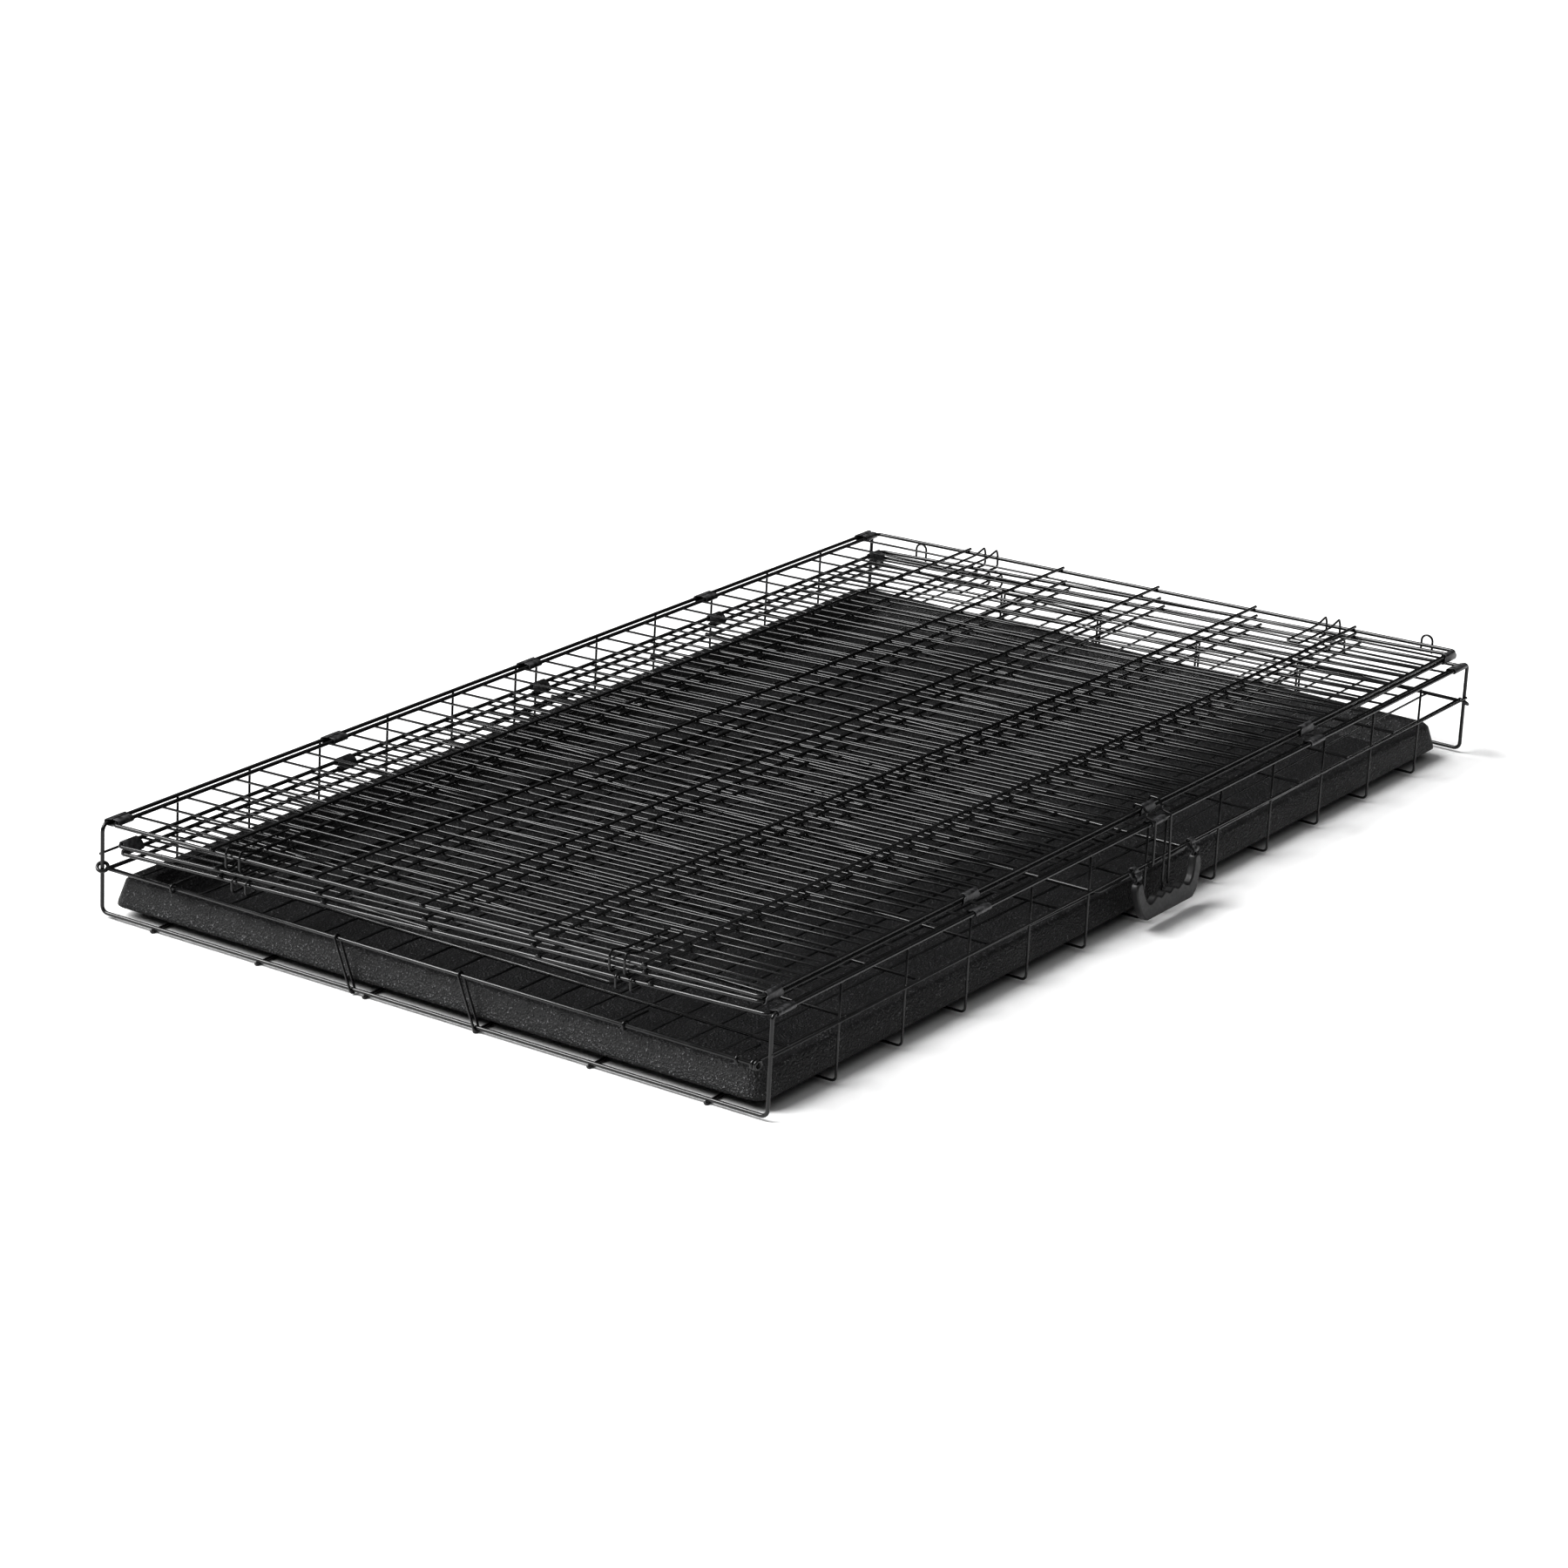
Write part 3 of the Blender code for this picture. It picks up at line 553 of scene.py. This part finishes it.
def panel_edge(bm, at, y_low, y_high):
    """The bottom bar, an eye at its one end and a coil at the other, and the wire round the other sides."""
    wire(bm, [at(0, y_low - 0.0012), at(0, y_high + 0.0012)], FRAME_R)
    outward = math.copysign(0.5, at(0, 0).x)
    for y, corner in ((y_low - 0.006, right_rail.y), (y_high + 0.006, left_rail.y)):
        if abs(y - corner) < 0.002:
            wire_ring(bm, at(0, y), (outward, -0.3, 0.8), 0.0047, 0.0017)
        else:
            for turn in (0.0, 0.0032):
                wire_ring(bm, at(0, y + turn), (0.2, 1, 0.1), 0.0036, 0.0015)
    wire(bm, [at(0, y_low), at(PANEL_LENGTH, y_low), at(PANEL_LENGTH, y_high), at(0, y_high)],
         FRAME_R, bend=0.006)


def panel_wire(bm, at, y, spans):
    """One fine wire along the panel, with a weld where each piece of it ends."""
    for start, end in spans:
        wander = steady.uniform(-0.0006, 0.0006)
        wire(bm, [at(start, y), at((start + end) / 2, y + wander), at(end, y)], FINE_R, bend=0.05)
        weld(bm, at(start, y), 0.0020, 0.0018)
        weld(bm, at(end, y), 0.0020, 0.0018)


def panel_long(bm, at, u, y0, y1, height, radius=LONG_R):
    """One wire across the panel, welded to the fine wires that it crosses."""
    wire(bm, [at(u, y0, height), at(u, y1, height)], radius)
    count = round((y1 - y0) / panel_step)
    for k in range(count + 1):
        weld(bm, at(u, y0 + (y1 - y0) * k / count, height / 2), 0.0018, 0.0014)


# %% Near end panel
CURL_Y = (0.2746, -0.2034, -0.3145)
RIGHT_POST = 5          # the doorway lies between these two fine wires
LEFT_POST = 16


def bar_curl(bm, at, y):
    """A finer wire curled once round the bottom bar, its tail lying inwards."""
    wire_ring(bm, at(0, y), (0, 1, 0), 0.0036, FINE_R)
    wire(bm, [at(0.0030, y, 0.0026), at(0.012, y + 0.001, 0.0026), at(0.036, y + 0.003, 0.0010)], FINE_R)


def build_near_panel():
    bm = bmesh.new()
    panel_edge(bm, near_at, near_low_y, near_high_y)
    for k in range(1, PANEL_WIRES + 1):
        in_doorway = RIGHT_POST < k < LEFT_POST
        spans = [(0, DOORWAY_X[0]), (DOORWAY_X[1], PANEL_LENGTH)] if in_doorway else [(0, PANEL_LENGTH)]
        panel_wire(bm, near_at, near_low_y + panel_step * k, spans)
    for u in DOORWAY_X:
        panel_long(bm, near_at, u, near_low_y - 0.001, near_high_y + 0.001, 0.0006, FRAME_R)
    panel_long(bm, near_at, 0.590, near_low_y - 0.001, near_high_y + 0.001, 0.0027)
    for u in NEAR_LONG_X:
        panel_long(bm, near_at, u, near_low_y - 0.001, near_low_y + panel_step * RIGHT_POST, 0.0016)
        panel_long(bm, near_at, u, near_low_y + panel_step * LEFT_POST, near_high_y + 0.001, 0.0016)
    for y in CURL_Y:
        bar_curl(bm, near_at, y)
    nodes = ["near_end_panel_" + part for part in ("sill", "left", "right", "header")]
    return finished(bm, "near_end_grid", wire_finish, "near_end_panel", nodes)


near_end_grid = build_near_panel()

# %% Far end panel


def build_far_panel():
    bm = bmesh.new()
    panel_edge(bm, far_at, far_low_y, far_high_y)
    for k in range(1, PANEL_WIRES + 1):
        panel_wire(bm, far_at, far_low_y + panel_step * k, [(0, PANEL_LENGTH)])
    for u in FAR_LONG_X:
        panel_long(bm, far_at, u, far_low_y - 0.001, far_high_y + 0.001, FINE_R + LONG_R + GAP)
    return finished(bm, "far_end_grid", wire_finish, "far_end_panel", ["far_end_panel"])


far_end_grid = build_far_panel()

# %% [markdown]
# ## Door and bolts
# The door is a smaller grid that lies on the doorway. Two straight bolts with ring grips slide over its
# free edge.

# %% Door
DOOR_LIFT = 0.0066
door_low_y = near_low_y + panel_step * 5.2
door_high_y = near_low_y + panel_step * 15.8
door_near_x = DOORWAY_X[0] + 0.006
door_far_x = DOORWAY_X[1] - 0.006


def build_door():
    bm = bmesh.new()
    y0, y1 = door_low_y, door_high_y
    u0, u1 = door_near_x, door_far_x
    outline = [near_at(u0, y0, DOOR_LIFT), near_at(u1, y0, DOOR_LIFT),
               near_at(u1, y1, DOOR_LIFT), near_at(u0, y1, DOOR_LIFT)]
    wire(bm, outline, FRAME_R, bend=0.006, closed=True)
    for k in range(1, 10):
        y = y0 + (y1 - y0) * k / 10
        wire(bm, [near_at(u0, y, DOOR_LIFT), near_at(u1, y, DOOR_LIFT)], FINE_R)
        for u in (u0, u1):
            weld(bm, near_at(u, y, DOOR_LIFT), 0.0020, 0.0018)
        for u in NEAR_LONG_X:
            weld(bm, near_at(u, y, DOOR_LIFT + 0.0013), 0.0018, 0.0014)
    for u in NEAR_LONG_X:
        height = DOOR_LIFT + FINE_R + LONG_R + GAP
        wire(bm, [near_at(u, y0 - 0.001, height), near_at(u, y1 + 0.001, height)], LONG_R)
    return finished(bm, "door_grid", wire_finish, "door", ["door"])


door_grid = build_door()

# %% Door bolts


def build_bolt(number):
    node = f"door_bolt_{number}"
    low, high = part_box(node)
    u = (low.x + high.x) / 2 - near_at(0, 0).x
    height = DOOR_LIFT + FRAME_R + 0.0021
    bm = bmesh.new()
    wire(bm, [near_at(u, door_high_y - 0.045, height), near_at(u, door_high_y + 0.012, height)], 0.0016)
    wire_ring(bm, near_at(u, door_high_y - 0.0548, height), (0, 0, 1), 0.0100, 0.0014)
    return finished(bm, f"bolt_{number}", wire_finish, node, [node])


bolts = [build_bolt(number) for number in (1, 2)]

# %% [markdown]
# ## Links between base and end panels
# Long closed loops tie each end panel's bottom bar to the end wire of the base. They hang loosely, so the
# near two lean.

# %% Link loops


def build_link(node, lean):
    low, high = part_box(node)
    x = -HALF_X if low.x < 0 else HALF_X
    y = (low.y + high.y) / 2
    bar_z = near_at(0, 0).z if low.x < 0 else far_at(0, 0).z
    bm = bmesh.new()
    wire_link(bm, (x, y - lean / 2, HOOP_Z), (x, y + lean / 2, bar_z), FRAME_R + GAP + FINE_R, FINE_R)
    return finished(bm, node + "_loop", wire_finish, "base", [node])


links = [build_link(f"near_link_{i}", 0.017) for i in (1, 2)]
links += [build_link(f"far_link_{i}", 0.0) for i in (1, 2, 3, 4)]

# %% [markdown]
# ## Hooks and loops
# When the crate stands, double hooks on the side walls hold the end panels. Each is one wire: along the
# panel, up to a narrow peak over the end wire, down outside it, across, and back the same way. Two small
# half rings stand on the roof's far edge.

# %% Double hooks
HOOK_HALF = 0.0075
HOOK_TAIL = 0.078


def hook_prong(peak, drop):
    """(distance past the end wire, height) of the points of one prong, from its tip inwards."""
    return [(-0.008, -drop * 0.92), (0.0025, -drop), (0.0059, -drop * 0.74), (0.0057, 0.0020), (0.0034, peak),
            (0.0018, peak), (-0.014, 0.0034), (-0.045, 0.0026), (-HOOK_TAIL, 0.0024)]


def build_hook(wall, number, foot, head, peak, drop):
    node = f"{wall}_hook_{number}"
    low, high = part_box(node)
    side = 1 if low.x > 0 else -1
    along = (head - foot).normalized()
    up = Vector((0, -along.z, along.y))
    up = up if up.z > 0 else -up
    middle = (Vector((0, (low.y + high.y) / 2, 0)) - Vector((0, foot.y, 0))).dot(along) / along.y ** 2
    path = []
    for half, prong in ((-HOOK_HALF, hook_prong(peak, drop)), (HOOK_HALF, hook_prong(peak, drop)[::-1])):
        for x, w in prong:
            path.append(Vector((side * (HALF_X - 0.004 + x), 0, 0)) + foot + along * (middle + half) + up * w)
    bm = bmesh.new()
    wire(bm, path, FINE_R, bend=0.0022)
    return finished(bm, node + "_wire", wire_finish, wall, [node])


hooks = [build_hook("lower_wall", i, lower_foot, lower_head, 0.0036, 0.0086) for i in (1, 2, 3, 4)]
hooks += [build_hook("upper_wall", i, upper_head, upper_foot, 0.0072, 0.0115) for i in (1, 2, 3, 4)]

# %% Half rings on the roof


def build_half_ring(number):
    node = f"roof_loop_{number}"
    low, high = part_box(node)
    x = (low.x + high.x) / 2
    y = (low.y + high.y) / 2
    top = high.z - FINE_R
    bm = bmesh.new()
    legs = [(x, y - 0.006, low.z + FINE_R), (x, y - 0.006, top), (x, y + 0.006, top), (x, y + 0.006, low.z + FINE_R)]
    wire(bm, legs, FINE_R, bend=0.0059)
    return finished(bm, node + "_ring", wire_finish, "roof", [node])


half_rings = [build_half_ring(number) for number in (1, 2)]

# %% [markdown]
# ## Hinge clips
# A clip is a strip of sheet wrapped round two rails with its ends meeting on one face. One edge is drawn
# along that path: straight, half a turn round one rail, straight, half a turn round the other. Its strip
# is narrower where it wraps the second rail, as the pressed blank is. Solidify gives it a thickness.

# %% Clip helper
SHEET = 0.0009


def clip_strip(bm, first, second, x, length, neck=0.80):
    """The wrapped strip round rails first and second, each at (y, z), centred on x."""
    a = Vector((x, first.y, first.z))
    b = Vector((x, second.y, second.z))
    along = (b - a).normalized()
    axis = Vector((1, 0, 0))
    out = axis.cross(along)
    room = FRAME_R + 0.00035 + SHEET
    start = (a + b) / 2 - out * room
    ends = [bm.verts.new(start + axis * side * length * neck / 2) for side in (-1, 1)]
    strip = [bm.edges.new(ends)]
    gap = along * 0.0006
    bmesh.ops.translate(bm, vec=-gap, verts=ends)
    reach = (b - a) / 2
    strip = run_on(bm, strip, -(reach - gap))
    scale_x(bm, strip, x, 1 / neck)
    strip = bend_on(bm, strip, a, -axis, math.pi)
    strip = run_on(bm, strip, reach * 1.2)
    strip = run_on(bm, strip, reach * 0.8)
    scale_x(bm, strip, x, neck)
    strip = bend_on(bm, strip, b, -axis, math.pi)
    run_on(bm, strip, -(reach - gap))


def scale_x(bm, strip, x, size):
    """Widens or narrows the strip's leading edge."""
    space = Matrix.Translation((-x, 0, 0))
    bmesh.ops.scale(bm, vec=(size, 1, 1), space=space, verts=verts_of(strip))


def build_clip(node, first, second, x, length, body, name=None):
    bm = bmesh.new()
    clip_strip(bm, first, second, x, length)
    bmesh.ops.recalc_face_normals(bm, faces=bm.faces)
    middle = (first + second) / 2 + Vector((x, 0, 0))
    outward = sum((face.calc_center_median() - middle).dot(face.normal) for face in bm.faces)
    if outward < 0:
        bmesh.ops.reverse_faces(bm, faces=bm.faces)
    bmesh.ops.solidify(bm, geom=bm.faces[:], thickness=SHEET)
    piece = finished(bm, name or node + "_sheet", clip_finish, body, [node])
    rounded = piece.modifiers.new("worn_edges", "BEVEL")
    rounded.width = 0.00022
    rounded.segments = 2
    rounded.limit_method = "ANGLE"
    rounded.angle_limit = math.radians(50)
    return piece


# %% Hinge clips
CLIP_LENGTH = 0.025
clips = []
for i, x in enumerate(clip_places, 1):
    clips.append(build_clip(f"clip_lip_right_{i}", right_rail, lower_foot, x, CLIP_LENGTH, "base"))
    clips.append(build_clip(f"clip_lip_left_{i}", left_rail, upper_foot, x, CLIP_LENGTH, "base"))
    clips.append(build_clip(f"clip_roof_left_{i}", lower_head, roof_left, x, CLIP_LENGTH, "lower_wall"))
    clips.append(build_clip(f"clip_roof_right_{i}", roof_right, upper_head, x, CLIP_LENGTH, "roof"))

# %% [markdown]
# ## The tray
# The tray is one moulded sheet. Its outline starts as a flat rectangle whose four corners are bevelled
# round. The outline's edges are then drawn up the sloping skirt, in across the flat rim, down into the
# pan, and closed. A thickness is given inwards.

# %% Tray
TRAY_WALL = 0.0022
SKIRT_LIFT = 0.0045     # the skirt's foot hangs this far above the pan's underside


def build_tray():
    low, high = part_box("tray")
    middle = (low + high) / 2
    half = (high - low) / 2
    foot = low.z + SKIRT_LIFT
    bm = bmesh.new()
    made = bmesh.ops.create_grid(bm, x_segments=1, y_segments=1, size=1.0)["verts"]
    bmesh.ops.scale(bm, vec=(half.x, half.y, 1), verts=made)
    bmesh.ops.translate(bm, vec=(middle.x, middle.y, foot), verts=made)
    bmesh.ops.bevel(bm, geom=bm.verts[:], offset=0.016, segments=8, profile=0.5, affect="VERTICES", material=-1)
    outline = bm.edges[:]
    bmesh.ops.delete(bm, geom=bm.faces[:], context="FACES_ONLY")

    def step(ring, inset, z):
        """Draws the outline on to a smaller one at height z. inset is measured from the foot."""
        made = edges_of(bmesh.ops.extrude_edge_only(bm, edges=ring)["geom"])
        verts = verts_of(made)
        now = max(vert.co.x for vert in verts) - middle.x
        size_x = (half.x - inset) / now
        size_y = (half.y - inset) / (max(vert.co.y for vert in verts) - middle.y)
        space = Matrix.Translation((-middle.x, -middle.y, 0))
        bmesh.ops.scale(bm, vec=(size_x, size_y, 1), space=space, verts=verts)
        bmesh.ops.translate(bm, vec=(0, 0, z - verts[0].co.z), verts=verts)
        return made

    top = high.z
    ring = step(outline, 0.0004, foot + 0.003)
    ring = step(ring, 0.0050, top - 0.0022)
    ring = step(ring, 0.0068, top - 0.0002)
    ring = step(ring, 0.0090, top)
    ring = step(ring, 0.0225, top)
    ring = step(ring, 0.0240, top - 0.0012)
    ring = step(ring, 0.0315, low.z + 0.0042)
    ring = step(ring, 0.0345, low.z + 0.0030)
    bmesh.ops.contextual_create(bm, geom=ring)
    bmesh.ops.recalc_face_normals(bm, faces=bm.faces)
    floor = max(bm.faces, key=lambda face: len(face.verts))
    if floor.normal.z < 0:
        bmesh.ops.reverse_faces(bm, faces=bm.faces)
    bmesh.ops.solidify(bm, geom=bm.faces[:], thickness=TRAY_WALL)
    return finished(bm, "tray_moulding", tray_finish, "tray", ["tray"])


tray_moulding = build_tray()

# %% [markdown]
# ## Carry handle
# The handle is a flat loop, open at the top, with finger scallops on the inside of its grip. Its outline
# is one face with a few corners. Bevelling the corners rounds it, extruding gives it thickness, and a
# bevel round its edges makes it comfortable to hold.

# %% Handle
HANDLE_LEAN = -0.10
HANDLE_ARM = 0.051
HANDLE_BAR = Vector((0, -0.0040, -0.0070))
HANDLE_THICK = 0.0080
handle_x = joints["handle_swing"]["pos_m"][0]


def on_handle(bm):
    """Leans the shape and moves it to the handle's axis."""
    place = Matrix.Translation((handle_x, handle_axis.y, handle_axis.z)) @ Matrix.Rotation(HANDLE_LEAN, 4, "X")
    bmesh.ops.transform(bm, matrix=place, verts=bm.verts)


def handle_outline():
    arm = HANDLE_ARM
    top = HANDLE_BAR.z - 0.0045
    outer = [(arm + 0.0040, top), (arm + 0.0062, top - 0.006), (arm + 0.0052, top - 0.014),
             (arm - 0.0015, top - 0.0300), (arm - 0.0100, top - 0.0375)]
    inner = [(arm - 0.0040, top), (arm - 0.0058, top - 0.009), (arm - 0.0100, top - 0.0185),
             (arm - 0.0160, top - 0.0235)]
    grip = [(0.0290, -0.0222), (0.0225, -0.0180), (0.0150, -0.0222), (0.0075, -0.0180)]
    right = outer + [(-x, z) for x, z in reversed(outer)]
    left = [(-x, z) for x, z in inner] + [(-x, top + z) for x, z in grip] + [(0, top - 0.0222)]
    left += [(x, top + z) for x, z in reversed(grip)] + list(reversed(inner))
    return right + left


def build_handle():
    bm = bmesh.new()
    corners = [bm.verts.new((x, HANDLE_BAR.y - HANDLE_THICK / 2, z)) for x, z in handle_outline()]
    bm.faces.new(corners)
    bmesh.ops.bevel(bm, geom=corners, offset=0.0026, segments=5, profile=0.5, affect="VERTICES",
                    clamp_overlap=True, material=-1)
    made = bmesh.ops.extrude_face_region(bm, geom=bm.faces[:])["geom"]
    moved = [item for item in made if isinstance(item, bmesh.types.BMVert)]
    bmesh.ops.translate(bm, vec=(0, HANDLE_THICK, 0), verts=moved)
    bmesh.ops.recalc_face_normals(bm, faces=bm.faces)
    rims = [edge for edge in bm.edges if edge.calc_face_angle(0) > 1.2]
    bmesh.ops.bevel(bm, geom=rims, offset=0.0017, segments=4, profile=0.5, affect="EDGES",
                    clamp_overlap=True, material=-1)
    for side in (-1, 1):
        x = side * HANDLE_ARM
        top = HANDLE_BAR.z - 0.0055
        for leg in (x - 0.0026, x + 0.0026):
            wire(bm, [(leg, HANDLE_BAR.y, top), (leg, HANDLE_BAR.y, HANDLE_BAR.z)], 0.0011)
        wire(bm, [(x - 0.0068, HANDLE_BAR.y, HANDLE_BAR.z), (x + 0.0068, HANDLE_BAR.y, HANDLE_BAR.z)], 0.0016)
    on_handle(bm)
    return finished(bm, "handle_grip", handle_finish, "handle", ["handle"])


handle_grip = build_handle()

# %% Handle clamps


def build_handle_clamp(number, side):
    bm = bmesh.new()
    x = side * HANDLE_ARM
    clip_strip(bm, Vector((0, 0, 0)), HANDLE_BAR, x, 0.0080, 1.0)
    bmesh.ops.recalc_face_normals(bm, faces=bm.faces)
    middle = HANDLE_BAR / 2 + Vector((x, 0, 0))
    if sum((face.calc_center_median() - middle).dot(face.normal) for face in bm.faces) < 0:
        bmesh.ops.reverse_faces(bm, faces=bm.faces)
    bmesh.ops.solidify(bm, geom=bm.faces[:], thickness=SHEET)
    on_handle(bm)
    node = f"handle_clamp_{number}"
    return finished(bm, node + "_sheet", clip_finish, "handle", [node])


clamps = [build_handle_clamp(1, -1), build_handle_clamp(2, 1)]

# %% [markdown]
# ## Fold lock
# A doubled wire hangs from the stack's right edge. It keeps the fold shut: one leg hooks under the lip's
# middle wire, and the other runs on down as a finger tab.

# %% Fold lock
LOCK_HALF = 0.0139


def build_fold_lock():
    rail = Vector((0, roof_right.y, roof_right.z))
    outside = centre_y - half_y
    bend_out = [
        (rail.y + 0.0048, rail.z + 0.0025), (rail.y + 0.0048, rail.z + 0.0075), (rail.y + 0.0030, rail.z + 0.0088),
        (rail.y - 0.0045, rail.z + 0.0084), (rail.y - 0.0085, rail.z + 0.0030), (rail.y - 0.0085, rail.z - 0.0010),
        (outside - 0.0052, rail.z - 0.0030), (outside - 0.0058, rail.z - 0.0150),
    ]
    hooked = [(handle_axis.y - 0.0034, mid_wire_z + 0.0010), (handle_axis.y - 0.0030, mid_wire_z - 0.0040),
              (handle_axis.y + 0.0006, mid_wire_z - 0.0044)]
    tab = [(handle_axis.y - 0.0040, mid_wire_z + 0.0010), (handle_axis.y - 0.0044, handle_axis.z - 0.0267)]
    path = [(-LOCK_HALF, y, z) for y, z in reversed(bend_out + hooked)]
    path += [(LOCK_HALF, y, z) for y, z in bend_out + tab]
    bm = bmesh.new()
    wire(bm, path, FINE_R, bend=0.0022)
    return finished(bm, "fold_lock_wire", wire_finish, "fold_lock", ["fold_lock"])


fold_lock_wire = build_fold_lock()

# %% [markdown]
# ## Floor, light and camera
# The crate lies on a plain white floor. A broad lamp stands high on its left, and the sky is bright
# overhead and black near the floor. So the wires across the crate catch the light along their tops,
# the wires along it stay black, and the shadows are soft. A sun lamp lights the whole floor evenly,
# where an area lamp would leave its far side grey.

# %% Floor
floor_mesh = bpy.data.meshes.new("floor")
bm = bmesh.new()
bmesh.ops.create_grid(bm, x_segments=1, y_segments=1, size=30)
bm.to_mesh(floor_mesh)
bm.free()
floor = bpy.data.objects.new("floor", floor_mesh)
floor.location.z = -0.0002
bpy.context.scene.collection.objects.link(floor)
paint, paint_shader, _ = new_finish("floor_paint", (0.96, 0.96, 0.96), 0.8)
floor_mesh.materials.append(paint)

# %% Light
SKY_LOW = 0.00          # light that comes in level with the floor
SKY_HIGH = 0.60         # light that comes from straight above


def soft_sky():
    """A surround that is dim at the horizon and bright overhead."""
    world = bpy.data.worlds.new("surround")
    world.use_nodes = True
    nodes = world.node_tree.nodes
    links = world.node_tree.links
    direction = nodes.new("ShaderNodeTexCoord").outputs["Generated"]
    split = nodes.new("ShaderNodeSeparateXYZ")
    links.new(direction, split.inputs["Vector"])
    level = nodes.new("ShaderNodeMapRange")
    level.interpolation_type = "SMOOTHSTEP"
    level.inputs["From Min"].default_value = 0.3
    level.inputs["From Max"].default_value = 1.0
    level.inputs["To Min"].default_value = SKY_LOW
    level.inputs["To Max"].default_value = SKY_HIGH
    links.new(split.outputs["Z"], level.inputs["Value"])
    links.new(level.outputs["Result"], nodes["Background"].inputs["Strength"])
    nodes["Background"].inputs["Color"].default_value = (1, 1, 1, 1)
    bpy.context.scene.world = world


soft_sky()


def distant_lamp(name, direction, strength, width):
    """A sun lamp whose light comes from direction. width is its angle in degrees, and softens shadows."""
    lamp = bpy.data.lights.new(name, "SUN")
    lamp.energy = strength
    lamp.angle = math.radians(width)
    obj = bpy.data.objects.new(name, lamp)
    obj.rotation_euler = (-Vector(direction)).to_track_quat("-Z", "Y").to_euler()
    bpy.context.scene.collection.objects.link(obj)
    return obj


KEY_FROM = (-0.46, 0.515, 0.72)
KEY_STRENGTH = 6.2
KEY_WIDTH = 42          # degrees
DARKS = 0.84            # gamma: below 1 deepens the blacks and leaves white alone
key = distant_lamp("overhead", KEY_FROM, KEY_STRENGTH, KEY_WIDTH)
bpy.context.scene.view_settings.view_transform = "Standard"
bpy.context.scene.view_settings.gamma = DARKS
print("lit by", key.name)

# %% Camera
lens = bpy.data.cameras.new("camera")
lens.lens = 114.58
lens.sensor_width = 36
camera = bpy.data.objects.new("camera", lens)
right = Vector((0.55879, -0.82792, 0.04794))
up = Vector((0.24643, 0.22097, 0.94364))
back = Vector((-0.79185, -0.51548, 0.32750))
turn = Matrix((right, up, back)).transposed().to_4x4()
camera.matrix_world = Matrix.Translation((-3.6880, -2.3485, 1.5588)) @ turn
bpy.context.scene.collection.objects.link(camera)
bpy.context.scene.camera = camera
print("camera at", [round(value, 3) for value in camera.location])
